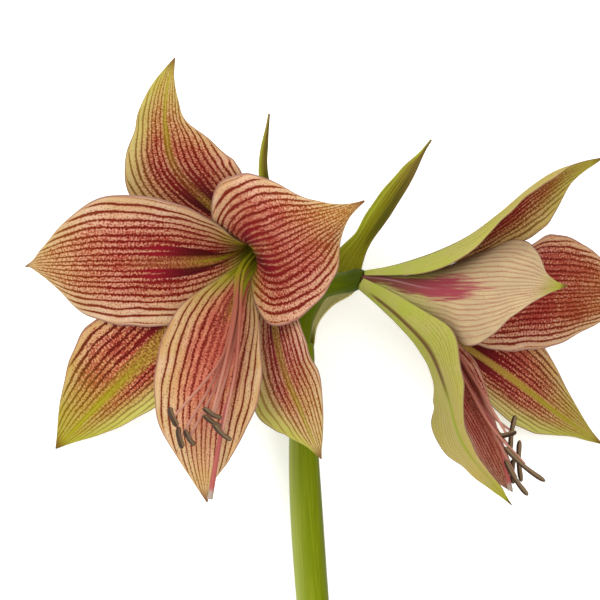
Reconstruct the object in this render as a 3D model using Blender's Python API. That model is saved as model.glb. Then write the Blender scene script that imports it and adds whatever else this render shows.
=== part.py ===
"""Amaryllis stem: a cut flower stalk lying on its side.

A thick scape carries an umbel of two open blooms and the two withered valves of its spathe.
Each bloom has three outer sepals, three inner petals, six stamens and a style on a green ovary.
Lengths below are millimetres. The plant is first drawn upright: X right, Y up the stalk, Z toward
the viewer, with the origin at the top of the scape. It is then laid down on three low points.
"""
import math

import bmesh
import bpy
import numpy as np
from mathutils import Matrix, Vector

MM = 0.001

# Sheets: thickness, and how finely a blade is divided across and along
TEPAL_THICKNESS = 0.8
TEPAL_COLUMNS = 8
TEPAL_ROWS = 18
VALVE_THICKNESS = 1.2
VALVE_COLUMNS = 4
VALVE_ROWS = 12

# Scape: centre line points and the radius at each
SCAPE_LINE = (
    (0.0, 0.0, 0.0), (-0.3, -52.0, 2.0), (4.3, -130.0, 6.0), (13.0, -215.0, 14.0), (20.0, -300.0, 23.0),
)
SCAPE_RADII = (7.2, 8.0, 8.0, 8.4, 8.8)
SCAPE_STEPS = 12
SCAPE_SIDES = 28
HEEL_FLAT = 0.35

# Pedicel and ovary: radius at even steps from the umbel to the top of the ovary
PEDICEL_RADII = (3.4, 4.0, 4.6, 4.9, 5.6, 6.5, 6.7, 6.2, 5.8)
PEDICEL_SIDES = 18
OVARY_LOBE = 0.05
OVARY_GAP = 0.35

# Blooms: top of the ovary, the way the bloom faces, and the pedicel's way points
BLOOMS = {
    "left": {
        "base": (-16.0, 50.0, 14.0),
        "axis": (-0.35, -0.36, 0.87),
        "pedicel": ((-3.3, 0.9, 2.0), (-6.0, 24.0, 0.0)),
    },
    "right": {
        "base": (29.0, 29.5, 6.0),
        "axis": (0.935, -0.285, 0.18),
        "pedicel": ((4.2, 0.85, 1.0), (7.5, 18.0, 2.0)),
    },
}

# Spathe valves: centre line, the half width along it and the way its hollow face looks
VALVES = {
    "spathe_valve_right": {
        "line": (
            (2.7, 1.0, -5.7), (10.5, 20.0, -9.0), (22.5, 41.0, -12.0), (40.5, 67.0, -11.0), (63.0, 100.0, -8.0),
        ),
        "width": (3.4, 8.5, 10.0, 7.5, 1.0),
        "faces": (-0.3, 0.2, 1.0),
    },
    "spathe_valve_left": {
        "line": (
            (-4.0, 0.4, -5.0), (-8.0, 24.0, -9.5), (-14.0, 54.0, -8.0), (-20.5, 84.0, -2.0), (-17.5, 113.0, 2.0),
        ),
        "width": (3.2, 6.0, 5.0, 2.2, 0.9),
        "faces": (0.1, 0.1, 1.0),
    },
}

# Stations along a tepal, the two half widths in its tube, and the shares of its half width beyond
STATIONS = (0.0, 0.12, 0.20, 0.28, 0.42, 0.56, 0.72, 0.86, 0.95, 1.0)
ROOT_WIDTH = {"sepal": (4.5, 6.4, 9.6), "petal": (3.0, 4.7, 7.0)}
ROOT_RIB = {"sepal": ((0.0, 5.0, 0.0), (16.0, 7.6, 0.0)), "petal": ((0.0, 3.6, 0.0), (16.0, 5.4, 0.0))}
OUTLINES = {
    "even": (0.48, 0.87, 1.00, 0.82, 0.45, 0.15, 0.02),
    "early": (0.50, 0.97, 0.99, 0.68, 0.32, 0.12, 0.02),
    "late": (0.44, 0.84, 1.00, 0.92, 0.58, 0.22, 0.02),
    "heart": (0.36, 0.90, 1.00, 0.70, 0.34, 0.12, 0.02),
    "slow": (0.32, 0.72, 1.00, 0.96, 0.62, 0.22, 0.02),
}

# Angle that each half of a blade turns through toward its inner face, at stations of length
TURN_STATIONS = (0.0, 0.3, 0.6, 0.85, 1.0)
FLAT_TURN = (60, 40, 20, 0, 0)
DEEP_TURN = (60, 60, 60, 45, 15)
NO_ROLL = (0, 0, 0, 0, 0)

# Tepals: kind, angle round the bloom, midrib beyond the tube as (along, out, aside), then the half
# widths, outlines and turns of the two halves, and the roll of the blade about its midrib
TEPALS = {
    "left": {
        "sepal_top": (
            "sepal", 90,
            ((31, 18, 4), (43, 33, 10), (58, 58, 19), (66, 80, 16.5), (69, 100, 10.5), (67, 114, 4)),
            (32, 29), ("early", "early"), ((60, 40, 0, -10, 0), FLAT_TURN), NO_ROLL,
        ),
        "sepal_lower_left": (
            "sepal", 210,
            ((30, 15, 3), (46, 25, 4.5), (62, 46, 7), (75, 80, 13), (80, 119, 19.5)),
            (26, 24), ("even", "even"), (FLAT_TURN, FLAT_TURN), NO_ROLL,
        ),
        "sepal_lower_right": (
            "sepal", 330,
            ((27, 14.5, -3), (46, 27, -15), (68, 45, -23.5), (87, 64, -28.5), (97, 82, -37.5)),
            (25, 26), ("even", "even"), (FLAT_TURN, (60, 25, -5, 0, 0)), NO_ROLL,
        ),
        "petal_left": (
            "petal", 150,
            ((30, 8, 0), (45, 15, 2), (73, 42, 7), (86, 67, 16), (86, 82, 25), (78, 91, 35)),
            (40, 34), ("early", "early"), ((60, 50, 10, -10, -10), (60, 60, 10, -10, -10)), NO_ROLL,
        ),
        "petal_right": (
            "petal", 30,
            ((30, 8, 2), (48, 15.5, 6), (70, 39, 3), (85, 68, 2.5), (87, 85.5, 0.5), (81, 96.5, -1)),
            (42, 36), ("heart", "heart"), ((60, 75, -5, -50, -20), (60, 65, 0, -30, -20)), NO_ROLL,
        ),
        "petal_bottom": (
            "petal", 270,
            ((30, 7, 0), (50, 13, -1), (70, 26, -2), (90, 43, -4), (105, 68, -5), (110, 93, -5)),
            (27, 26), ("late", "slow"), ((60, 55, 20, 10, 0), (60, 50, 12, 10, 0)), NO_ROLL,
        ),
    },
    "right": {
        "sepal_top": (
            "sepal", 90,
            ((33, 25, 0), (45.5, 36.5, 0), (56.5, 51, 0), (67.5, 67, 0), (79, 79.5, 0), (98, 92.5, 0)),
            (26, 29), ("early", "early"), (DEEP_TURN, DEEP_TURN), (0, 0, -10, -18, -18),
        ),
        "sepal_near": (
            "sepal", 210,
            ((27, 16, 4), (44.5, 24.5, 11.5), (59, 35, 25), (75, 45.5, 43), (105, 56.5, 63)),
            (26, 24), ("even", "even"), ((60, 35, 15, 10, 0), (60, 30, -10, -10, 0)), (0, 10, 24, 24, 10),
        ),
        "sepal_far": (
            "sepal", 330,
            ((31, 19, 0), (53, 35.5, 0), (71, 48.5, 0), (90.5, 67, 1), (107, 84.5, 2), (130.5, 105.5, 4)),
            (24, 28), ("even", "even"), (FLAT_TURN, FLAT_TURN), NO_ROLL,
        ),
        "petal_near": (
            "petal", 150,
            ((35.5, 11.5, 0), (61, 26.5, 0), (82.5, 41.5, 0), (103.5, 56, 0)),
            (34, 31), ("late", "heart"), ((60, 50, 30, 20, 0), (60, 65, 45, 20, 0)), NO_ROLL,
        ),
        "petal_far": (
            "petal", 30,
            ((32.5, 10, 0), (57, 17.5, 0), (83.5, 37.5, 0), (106, 53, 0), (125, 65.5, 0)),
            (36, 36), ("late", "late"), ((60, 60, 20, 0, 0), (60, 60, 20, 0, 0)), NO_ROLL,
        ),
        "petal_bottom": (
            "petal", 270,
            ((28, 10.5, 0), (52, 28, 0), (76, 49, 2), (91, 65.5, 4), (101.5, 78.5, 4)),
            (15, 20), ("even", "even"), ((60, 60, 40, 30, 0), (60, 60, 50, 40, 0)), (0, 5, 10, 10, 10),
        ),
    },
}

# Stamens: throat ring, then each filament's angle on the ring, its way points as (along, side, up)
# and the two ends of its anther
RING_RADII = (1.6, 2.5)
RING_SPAN = (0.0, 3.2)
FILAMENT_ROOT_RADIUS = 2.05
FILAMENT_RADII = (0.5, 0.75, 0.8, 0.6)
FILAMENT_STEPS = 12
FILAMENT_SIDES = 6
ANTHER_RADIUS = 1.35
ANTHER_STEPS = 6
ANTHER_SIDES = 8
STAMENS = {
    "left": (
        (
            130, ((56.5, 4.6, 3.4), (79.5, 10.0, -8.5), (99.0, 9.5, -23.0)),
            ((118.0, -12.0, -41.0), (131.5, -3.0, -44.0)),
        ),
        (
            180, ((56.0, 4.4, 1.4), (79.0, 9.0, -10.5), (99.0, 7.5, -28.0)),
            ((116.5, -10.0, -51.5), (130.5, -2.5, -55.5)),
        ),
        (
            230, ((55.0, 5.2, -0.4), (78.5, 9.5, -12.5), (97.5, 7.5, -31.5)),
            ((124.0, -3.0, -49.5), (114.0, -4.5, -61.0)),
        ),
        (
            80, ((57.0, 6.2, 4.4), (80.5, 11.5, -7.5), (99.0, 12.5, -21.5)),
            ((127.5, 10.0, -36.5), (115.5, 12.0, -46.5)),
        ),
        (
            340, ((55.5, 6.8, 1.6), (78.5, 11.5, -11.0), (97.5, 11.5, -28.5)),
            ((121.0, 6.5, -43.0), (110.0, 8.5, -53.0)),
        ),
        (
            30, ((57.0, 8.0, 3.4), (80.5, 13.5, -9.0), (101.0, 17.0, -26.5)),
            ((127.0, 13.5, -45.0), (117.0, 16.0, -57.0)),
        ),
    ),
    "right": (
        (
            170, ((46.5, -6.5, -12.5), (67.5, -9.5, -29.0)),
            ((88.0, -12.0, -53.0), (97.0, -22.0, -47.5)),
        ),
        (
            60, ((46.5, -2.5, -11.5), (68.0, -3.0, -27.0)),
            ((93.0, -5.5, -41.0), (95.5, -4.0, -58.5)),
        ),
        (
            10, ((47.0, 0.5, -13.5), (68.0, 1.0, -29.5)),
            ((98.0, -1.0, -52.5), (105.0, -3.0, -72.0)),
        ),
        (
            120, ((46.0, -9.0, -15.0), (66.0, -14.0, -32.5)),
            ((93.5, -18.5, -56.5), (117.5, -16.5, -67.0)),
        ),
        (
            220, ((46.0, -5.5, -15.5), (66.0, -8.0, -33.5)),
            ((95.0, -12.5, -63.0), (110.5, -7.5, -77.0)),
        ),
        (
            320, ((46.0, 2.5, -15.5), (66.5, 4.0, -32.0)),
            ((97.5, 1.5, -62.5), (101.0, 1.5, -74.5)),
        ),
    ),
}

# Styles: way points as (along, side, up) and the radii along them
STYLE_START = 0.0
STYLE_RADII = (0.8, 0.95, 0.95, 1.0, 1.3)
STYLE_STEPS = 16
STYLE_SIDES = 8
STYLES = {
    "left": (
        (4.0, 0.0, 0.0), (16.0, 0.8, -2.9), (48.0, 3.6, -6.0), (70.0, 7.0, -16.0),
        (89.5, 11.0, -34.5), (103.0, 8.0, -51.0), (125.0, 4.5, -84.0),
    ),
    "right": (
        (4.0, 0.0, 0.0), (16.0, 0.0, -3.0), (46.5, -1.0, -19.0), (67.0, -2.5, -35.5),
        (87.0, -6.0, -53.0), (101.5, -8.0, -77.0),
    ),
}

# Colours, linear, with roughness
COLOURS = {
    "scape": ((0.20, 0.33, 0.06), 0.42),
    "pedicel": ((0.12, 0.22, 0.04), 0.45),
    "spathe": ((0.22, 0.24, 0.05), 0.60),
    "sepal": ((0.62, 0.42, 0.26), 0.55),
    "petal": ((0.66, 0.40, 0.30), 0.55),
    "stamens": ((0.30, 0.17, 0.10), 0.60),
    "style": ((0.62, 0.16, 0.16), 0.50),
}


def hermite(knots, values, x):
    """Smooth curve through values at knots."""
    knots = np.asarray(knots, float)
    values = np.asarray(values, float).reshape(len(knots), -1)
    x = np.clip(np.asarray(x, float), knots[0], knots[-1])
    gaps = np.diff(knots)
    slopes = np.diff(values, axis=0) / gaps[:, None]
    ends = np.empty_like(values)
    ends[0] = slopes[0]
    ends[-1] = slopes[-1]
    before = gaps[:-1, None]
    after = gaps[1:, None]
    ends[1:-1] = (slopes[:-1] * after + slopes[1:] * before) / (after + before)
    i = np.clip(np.searchsorted(knots, x, side="right") - 1, 0, len(knots) - 2)
    s = ((x - knots[i]) / gaps[i])[:, None]
    g = gaps[i][:, None]
    return (
        (2 * s**3 - 3 * s**2 + 1) * values[i]
        + (s**3 - 2 * s**2 + s) * g * ends[i]
        + (3 * s**2 - 2 * s**3) * values[i + 1]
        + (s**3 - s**2) * g * ends[i + 1]
    )


def smooth_line(points, count):
    """Points at even spacing on a smooth curve through the way points."""
    points = np.asarray(points, float)
    knots = np.concatenate([[0.0], np.cumsum(np.sqrt(np.linalg.norm(np.diff(points, axis=0), axis=1)))])
    dense = hermite(knots, points, np.linspace(0.0, knots[-1], 600))
    run = np.concatenate([[0.0], np.cumsum(np.linalg.norm(np.diff(dense, axis=0), axis=1))])
    even = np.linspace(0.0, run[-1], count)
    return np.stack([np.interp(even, run, dense[:, k]) for k in range(3)], axis=-1)


def unit(vector):
    """Vector of length one."""
    vector = np.asarray(vector, float)
    return vector / np.linalg.norm(vector)


def tangents(line):
    """Unit directions along a line of points."""
    steps = np.gradient(line, axis=0)
    return steps / np.linalg.norm(steps, axis=1)[:, None]


class Bloom:
    """The frame of one bloom: its base, its axis, and the up and side directions across it."""

    def __init__(self, base, axis):
        self.base = np.asarray(base, float)
        self.axis = unit(axis)
        self.up = unit(np.array([0.0, 1.0, 0.0]) - self.axis[1] * self.axis)
        self.side = np.cross(self.up, self.axis)

    def outward(self, degrees):
        angle = math.radians(degrees)
        return math.cos(angle) * self.side + math.sin(angle) * self.up

    def around(self, degrees):
        angle = math.radians(degrees)
        return math.cos(angle) * self.up - math.sin(angle) * self.side

    def rib_point(self, along, out, aside, degrees):
        return self.base + along * self.axis + out * self.outward(degrees) + aside * self.around(degrees)

    def point(self, along, side, up):
        return self.base + along * self.axis + side * self.side + up * self.up


def blade_frame(line, across):
    """Across and inner-face directions at each point of a blade's midrib."""
    along = tangents(line)
    across = across[None, :] - (along @ across)[:, None] * along
    across /= np.linalg.norm(across, axis=1)[:, None]
    return across, np.cross(along, across)


def bend_half(share, width, turn):
    """Sideways reach and lift of a point on one half of a blade."""
    reach = abs(share) * width
    if abs(turn) < 1e-4:
        return math.copysign(reach, share), 0.0
    radius = width / turn
    angle = reach / radius
    return math.copysign(radius * math.sin(angle), share), radius * (1.0 - math.cos(angle))


def tepal_point_rule(bloom, spec):
    """Function from (share across, share along) to a point of a tepal's middle surface."""
    kind, degrees, rib, widths, outlines, turns, roll = spec
    way = [bloom.rib_point(*p, degrees) for p in ROOT_RIB[kind] + rib]
    line = smooth_line(way, TEPAL_ROWS + 1)
    across, inner = blade_frame(line, bloom.around(degrees))
    share = np.linspace(0.0, 1.0, TEPAL_ROWS + 1)
    rolls = np.radians(hermite(TURN_STATIONS, roll, share)[:, 0])
    cosine = np.cos(rolls)[:, None]
    sine = np.sin(rolls)[:, None]
    across, inner = across * cosine + inner * sine, inner * cosine - across * sine
    halves = []
    for k in range(2):
        profile = ROOT_WIDTH[kind] + tuple(widths[k] * w for w in OUTLINES[outlines[k]])
        halves.append((
            hermite(STATIONS, profile, share)[:, 0],
            np.radians(hermite(TURN_STATIONS, turns[k], share)[:, 0]),
        ))

    def rule(u, row):
        width, turn = halves[1 if u > 0 else 0]
        reach, lift = bend_half(u, width[row], turn[row])
        return line[row] + reach * across[row] + lift * inner[row]

    return rule


def valve_point_rule(spec):
    """Function from (share across, row) to a point of a spathe valve's middle surface."""
    line = smooth_line(spec["line"], VALVE_ROWS + 1)
    faces = unit(spec["faces"])
    along = tangents(line)
    across = unit(np.cross(faces, line[-1] - line[0]))
    across = across[None, :] - (along @ across)[:, None] * along
    across /= np.linalg.norm(across, axis=1)[:, None]
    inner = np.cross(along, across)
    inner *= np.sign(inner @ faces)[:, None]
    share = np.linspace(0.0, 1.0, VALVE_ROWS + 1)
    width = hermite(np.linspace(0.0, 1.0, len(spec["width"])), spec["width"], share)[:, 0]
    turn = np.radians(hermite((0.0, 0.5, 1.0), (35.0, 60.0, 25.0), share)[:, 0])

    def rule(u, row):
        reach, lift = bend_half(u, width[row], turn[row])
        return line[row] + reach * across[row] + lift * inner[row]

    return rule


def material(name):
    """The piece's own plain material."""
    colour, roughness = next(v for k, v in COLOURS.items() if k in name)
    made = bpy.data.materials.new(name)
    made.use_nodes = True
    shader = made.node_tree.nodes["Principled BSDF"]
    shader.inputs["Base Color"].default_value = (*colour, 1.0)
    shader.inputs["Roughness"].default_value = roughness
    shader.inputs["Metallic"].default_value = 0.0
    return made


def add_object(name, mesh, sharp=50.0):
    """Link a mesh as an object with its material, smooth except at sharp edges."""
    mesh.materials.append(material(name))
    mesh.shade_smooth()
    mesh.set_sharp_from_angle(angle=math.radians(sharp))
    made = bpy.data.objects.new(name, mesh)
    bpy.context.scene.collection.objects.link(made)
    return made


def add_blade(name, rule, columns, rows, thickness):
    """A thin blade: a triangulated grid on the rule's surface, given its thickness by Solidify."""
    grid = bmesh.new()
    bmesh.ops.create_grid(grid, x_segments=columns, y_segments=rows, size=1.0)
    for vertex in grid.verts:
        row = round((vertex.co.y + 1.0) / 2.0 * rows)
        vertex.co = Vector(rule(vertex.co.x, row)) * MM
    bmesh.ops.triangulate(grid, faces=grid.faces[:], quad_method="SHORT_EDGE")
    mesh = bpy.data.meshes.new(name)
    grid.to_mesh(mesh)
    grid.free()
    made = add_object(name, mesh)
    thick = made.modifiers.new("thickness", "SOLIDIFY")
    thick.thickness = thickness * MM
    thick.offset = 0.0
    split = made.modifiers.new("split", "TRIANGULATE")
    split.quad_method = "SHORTEST_DIAGONAL"
    return made


def tube_mesh(name, line, radii, sides, lobes=None):
    """A closed tube: a grid rolled round the line of points, its seam welded and its ends capped."""
    line = np.asarray(line, float)
    rows = len(line) - 1
    along = tangents(line)
    first = unit(np.cross(along[0], (0.31, 0.17, 0.93)))
    across = []
    for direction in along:
        first = unit(first - (first @ direction) * direction)
        across.append(first)
    shape = bmesh.new()
    bmesh.ops.create_grid(shape, x_segments=sides, y_segments=rows, size=1.0)
    for vertex in shape.verts:
        row = round((vertex.co.y + 1.0) / 2.0 * rows)
        angle = math.pi * (vertex.co.x + 1.0)
        other = np.cross(along[row], across[row])
        bulge = 1.0 if lobes is None else 1.0 + lobes[row] * math.cos(3.0 * angle)
        spoke = math.cos(angle) * across[row] + math.sin(angle) * other
        vertex.co = Vector(line[row] + radii[row] * bulge * spoke) * MM
    bmesh.ops.remove_doubles(shape, verts=shape.verts[:], dist=1e-7)
    bmesh.ops.holes_fill(shape, edges=[e for e in shape.edges if e.is_boundary], sides=0)
    bmesh.ops.recalc_face_normals(shape, faces=shape.faces[:])
    mesh = bpy.data.meshes.new(name)
    shape.to_mesh(mesh)
    shape.free()
    return mesh


def spread(values, count):
    """Values spread smoothly over an even count of steps."""
    return hermite(np.linspace(0.0, 1.0, len(values)), values, np.linspace(0.0, 1.0, count))[:, 0]


def ring_mesh(name, bloom):
    """The short collar in the throat that carries the filaments."""
    shape = bmesh.new()
    bmesh.ops.create_circle(shape, segments=24, radius=RING_RADII[1])
    outer = shape.edges[:]
    grown = bmesh.ops.extrude_edge_only(shape, edges=outer)["geom"]
    rim = [v for v in grown if isinstance(v, bmesh.types.BMVert)]
    for vertex in rim:
        vertex.co.xy *= RING_RADII[0] / RING_RADII[1]
    lift = bmesh.ops.extrude_face_region(shape, geom=shape.faces[:])["geom"]
    for vertex in [v for v in lift if isinstance(v, bmesh.types.BMVert)]:
        vertex.co.z += RING_SPAN[1] - RING_SPAN[0]
    for vertex in shape.verts:
        along = RING_SPAN[0] + vertex.co.z
        vertex.co = Vector(bloom.point(along, vertex.co.x, vertex.co.y)) * MM
    bmesh.ops.recalc_face_normals(shape, faces=shape.faces[:])
    mesh = bpy.data.meshes.new(name)
    shape.to_mesh(mesh)
    shape.free()
    return mesh


def join_solids(name, meshes):
    """Union of closed meshes as one mesh."""
    base = bpy.data.objects.new(name, meshes[0])
    bpy.context.scene.collection.objects.link(base)
    helpers = [base]
    for k, mesh in enumerate(meshes[1:]):
        other = bpy.data.objects.new(f"{name}_{k}", mesh)
        bpy.context.scene.collection.objects.link(other)
        helpers.append(other)
        union = base.modifiers.new(f"union_{k}", "BOOLEAN")
        union.operation = "UNION"
        union.solver = "EXACT"
        union.object = other
    bpy.context.view_layer.update()
    graph = bpy.context.evaluated_depsgraph_get()
    joined = bpy.data.meshes.new_from_object(base.evaluated_get(graph), depsgraph=graph)
    joined.name = name
    for helper in helpers:
        used = helper.data
        bpy.data.objects.remove(helper, do_unlink=True)
        bpy.data.meshes.remove(used)
    return joined


def stamens_mesh(name, bloom, stamens):
    """Six filaments with their anthers, rooted in the throat ring, as one body."""
    parts = [ring_mesh(name, bloom)]
    for degrees, way, ends in stamens:
        angle = math.radians(degrees)
        side = FILAMENT_ROOT_RADIUS * math.cos(angle)
        up = FILAMENT_ROOT_RADIUS * math.sin(angle)
        low, high = np.asarray(ends, float)
        points = [(RING_SPAN[0] + 1.0, side, up), (12.0, side, up), *way, tuple((low + high) / 2.0)]
        line = smooth_line([bloom.point(*p) for p in points], FILAMENT_STEPS + 1)
        parts.append(tube_mesh(name, line, spread(FILAMENT_RADII, FILAMENT_STEPS + 1), FILAMENT_SIDES))
        spine = np.linspace(bloom.point(*low), bloom.point(*high), ANTHER_STEPS + 1)
        girth = ANTHER_RADIUS * spread((0.45, 0.9, 1.0, 0.9, 0.45), ANTHER_STEPS + 1)
        parts.append(tube_mesh(name, spine, girth, ANTHER_SIDES))
    return join_solids(name, parts)


def add_scape():
    """The scape as a plain tapering tube."""
    line = smooth_line(SCAPE_LINE, SCAPE_STEPS + 1)
    return add_object("scape", tube_mesh("scape", line, spread(SCAPE_RADII, SCAPE_STEPS + 1), SCAPE_SIDES))


def add_pedicel(name, bloom, way):
    """Pedicel swelling into the three-lobed ovary, cut square where the bloom sits on it."""
    top = bloom.point(-OVARY_GAP, 0.0, 0.0)
    below = bloom.point(-OVARY_GAP - 12.0, 0.0, 0.0)
    middle = bloom.point(-OVARY_GAP - 6.0, 0.0, 0.0)
    line = smooth_line([*way, below, middle, top], 15)
    radii = spread(PEDICEL_RADII, len(line))
    lobes = OVARY_LOBE * spread((0, 0, 0, 0, 0.4, 1, 1, 0.5, 0), len(line))
    return add_object(name, tube_mesh(name, line, radii, PEDICEL_SIDES, lobes))


def add_style(name, bloom, way):
    """Long style from the top of the ovary to its blunt stigma."""
    points = [(STYLE_START, 0.0, 0.0), *way]
    line = smooth_line([bloom.point(*p) for p in points], STYLE_STEPS + 1)
    return add_object(name, tube_mesh(name, line, spread(STYLE_RADII, STYLE_STEPS + 1), STYLE_SIDES))


def evaluated_points(made):
    """Points of an object's evaluated mesh."""
    graph = bpy.context.evaluated_depsgraph_get()
    ready = made.evaluated_get(graph)
    mesh = ready.to_mesh()
    points = np.array([v.co for v in mesh.vertices])
    ready.to_mesh_clear()
    return points


def tip_points(made, base):
    """The points of a blade's outermost tenth, measured from the base of its bloom."""
    points = evaluated_points(made)
    reach = np.linalg.norm(points - np.asarray(base) * MM, axis=1)
    return points[reach > 0.9 * reach.max()]


def resting_plane(left, right, heel):
    """Unit normal and height of the plane that three low points lie on, with the heel's flat."""
    normal = np.array([0.0, 0.0, 1.0])
    for _ in range(12):
        lows = [points[np.argmin(points @ normal)] for points in (left, right, heel)]
        lows[2] = lows[2] + HEEL_FLAT * MM * normal
        normal = unit(np.cross(lows[1] - lows[0], lows[2] - lows[0]))
        normal *= math.copysign(1.0, normal[2])
    return normal, float(lows[0] @ normal)


def flatten_heel(scape, normal, height):
    """Cut the scape's lowest side flat where it lies on the table."""
    shape = bmesh.new()
    shape.from_mesh(scape.data)
    geometry = shape.verts[:] + shape.edges[:] + shape.faces[:]
    place = Vector(normal * height)
    bmesh.ops.bisect_plane(
        shape, geom=geometry, dist=1e-7, plane_co=place, plane_no=Vector(-normal), clear_outer=True,
    )
    bmesh.ops.holes_fill(shape, edges=[e for e in shape.edges if e.is_boundary], sides=0)
    bmesh.ops.recalc_face_normals(shape, faces=shape.faces[:])
    shape.to_mesh(scape.data)
    shape.free()
    scape.data.set_sharp_from_angle(angle=math.radians(30.0))


def lay_down(pieces, normal, height):
    """Parent every piece to an empty turned so that the resting plane is the table."""
    carrier = bpy.data.objects.new("laid_plant", None)
    bpy.context.scene.collection.objects.link(carrier)
    turn = Vector(normal).rotation_difference(Vector((0.0, 0.0, 1.0))).to_matrix()
    world = np.concatenate([evaluated_points(piece) for piece in pieces]) @ np.array(turn).T
    middle = (world.min(axis=0) + world.max(axis=0)) / 2.0
    carrier.matrix_world = Matrix.Translation((-middle[0], -middle[1], -height)) @ turn.to_4x4()
    for piece in pieces:
        piece.parent = carrier


def main():
    for old in list(bpy.data.objects):
        bpy.data.objects.remove(old, do_unlink=True)
    scape = add_scape()
    pieces = [scape]
    for name, spec in VALVES.items():
        pieces.append(add_blade(name, valve_point_rule(spec), VALVE_COLUMNS, VALVE_ROWS, VALVE_THICKNESS))
    for which, frame in BLOOMS.items():
        bloom = Bloom(frame["base"], frame["axis"])
        pieces.append(add_pedicel(f"{which}_pedicel_ovary", bloom, frame["pedicel"]))
        for name, spec in TEPALS[which].items():
            rule = tepal_point_rule(bloom, spec)
            pieces.append(add_blade(f"{which}_{name}", rule, TEPAL_COLUMNS, TEPAL_ROWS, TEPAL_THICKNESS))
        name = f"{which}_stamens"
        pieces.append(add_object(name, stamens_mesh(name, bloom, STAMENS[which])))
        pieces.append(add_style(f"{which}_style", bloom, STYLES[which]))
    bpy.context.view_layer.update()
    found = {piece.name: piece for piece in pieces}
    left = tip_points(found["left_sepal_lower_left"], BLOOMS["left"]["base"])
    right = tip_points(found["right_sepal_far"], BLOOMS["right"]["base"])
    heel = evaluated_points(scape)
    heel = heel[heel[:, 1] < SCAPE_LINE[-1][1] * 0.9 * MM]
    normal, height = resting_plane(left, right, heel)
    flatten_heel(scape, normal, height)
    bpy.context.view_layer.update()
    lay_down(pieces, normal, height)


main()
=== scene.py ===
"""Amaryllis stem, dressed: veined tepals, stalk, spathe, stamens and styles on the packed solids.

Lengths in the tables are millimetres. The plant is drawn upright, X right, Y up the stalk and Z toward
the viewer, with the origin at the top of the stalk. PLANT lays each point down where the solids lie.
"""

import functools
import math

import bmesh
import bpy
import numpy as np
from bpy.props import FloatProperty, FloatVectorProperty, IntProperty, PointerProperty
from mathutils import Color, Matrix, Vector


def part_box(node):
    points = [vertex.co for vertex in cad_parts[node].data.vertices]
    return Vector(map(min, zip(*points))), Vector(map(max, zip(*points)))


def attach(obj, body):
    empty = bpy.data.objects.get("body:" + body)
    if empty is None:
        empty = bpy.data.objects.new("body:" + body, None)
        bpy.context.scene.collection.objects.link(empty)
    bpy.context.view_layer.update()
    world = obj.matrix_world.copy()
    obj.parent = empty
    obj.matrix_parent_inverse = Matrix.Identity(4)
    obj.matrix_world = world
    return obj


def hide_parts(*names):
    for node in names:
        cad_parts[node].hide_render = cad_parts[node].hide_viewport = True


bl_info = {
    "name": "Amaryllis stem",
    "version": (1, 0, 0),
    "blender": (4, 5, 0),
    "location": "View3D > Sidebar > Amaryllis",
    "description": "Dresses a cut amaryllis stem with veined tepals, stamens and a green stalk",
    "category": "Add Mesh",
}

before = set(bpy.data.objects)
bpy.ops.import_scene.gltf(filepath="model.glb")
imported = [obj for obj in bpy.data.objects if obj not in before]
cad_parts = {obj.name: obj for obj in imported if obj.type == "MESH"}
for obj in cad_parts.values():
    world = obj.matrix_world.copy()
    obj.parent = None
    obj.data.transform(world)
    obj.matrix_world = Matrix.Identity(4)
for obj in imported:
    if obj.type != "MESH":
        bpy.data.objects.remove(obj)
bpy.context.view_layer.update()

MM = 0.001
BODY = "root"
# How far the middle of a piece may lie from the middle of its node
PLACE_SLACK = 9.0

# How the upright plant lies: the way up from the table, in the plant's axes, and the stalk top's place
TABLE_UP = (0.303263, 0.137391, 0.942950)
STALK_TOP = (-12.3025, 91.6903, 21.9134)
PLANT = Matrix.Translation(Vector(STALK_TOP) * MM) @ (
    Vector(TABLE_UP).rotation_difference(Vector((0.0, 0.0, 1.0))).to_matrix().to_4x4()
)

# Stalk, and each bloom's seat on its ovary
SCAPE_LINE = (
    (0, 0, 0), (-0.3, -52, 2), (4.3, -130, 6), (13, -215, 14), (20, -300, 23),
)
SCAPE_RADII = (4.9, 7.9, 8, 8.4, 8.8)
PEDICEL_RADII = (3.5, 3.8, 4, 4.3, 4.6, 4.9, 5.3, 5.4, 5.4)
OVARY_LOBES = (0, 0, 0, 0, 0.4, 1, 1, 0.5, 0)
OVARY_LOBE = 0.05
OVARY_GAP = 0.35
BLOOMS = {
    "left": {
        "base": (-16, 50, 14),
        "axis": (-0.35, -0.36, 0.87),
        "pedicel": ((-3.6, -1.2, -1), (-7.5, 22, -1), (-12.3, 41, 1.5), (-14.2, 46, 7.5)),
    },
    "right": {
        "base": (29, 29.5, 6),
        "axis": (0.935, -0.285, 0.18),
        "pedicel": ((-0.6, -1.2, 1.6), (1.9, 15.5, 2), (8.6, 25, 3), (17.5, 28.3, 4.2), (22.5, 29.1, 5)),
    },
}

# Spathe valves: centre line, the half widths of its two halves along it, and the way the hollow face looks
VALVES = {
    "spathe_valve_right": {
        "line": (
            (1.2, -3, -4), (6.6, 12, -7), (18.5, 31.2, -10.5), (30.5, 51, -12), (50.5, 81, -11),
            (64, 100.5, -8),
        ),
        "widths": (
            (4.2, 2.4, 6, 14, 9.2, 5.8, 6.6, 6, 4.5, 2.6, 0.8),
            (3, 5.5, 8.5, 10, 9, 6, 6.6, 6, 4.5, 2.6, 0.8),
        ),
        "faces": (-0.3, 0.2, 1),
    },
    "spathe_valve_left": {
        "line": (
            (-4, 0.4, -5), (-8, 24, -9.5), (-14, 54, -8), (-20.5, 84, -2), (-17.5, 113, 2),
        ),
        "widths": ((3.2, 6, 5, 2.2, 0.9),) * 2,
        "faces": (0.1, 0.1, 1),
    },
}

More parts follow.
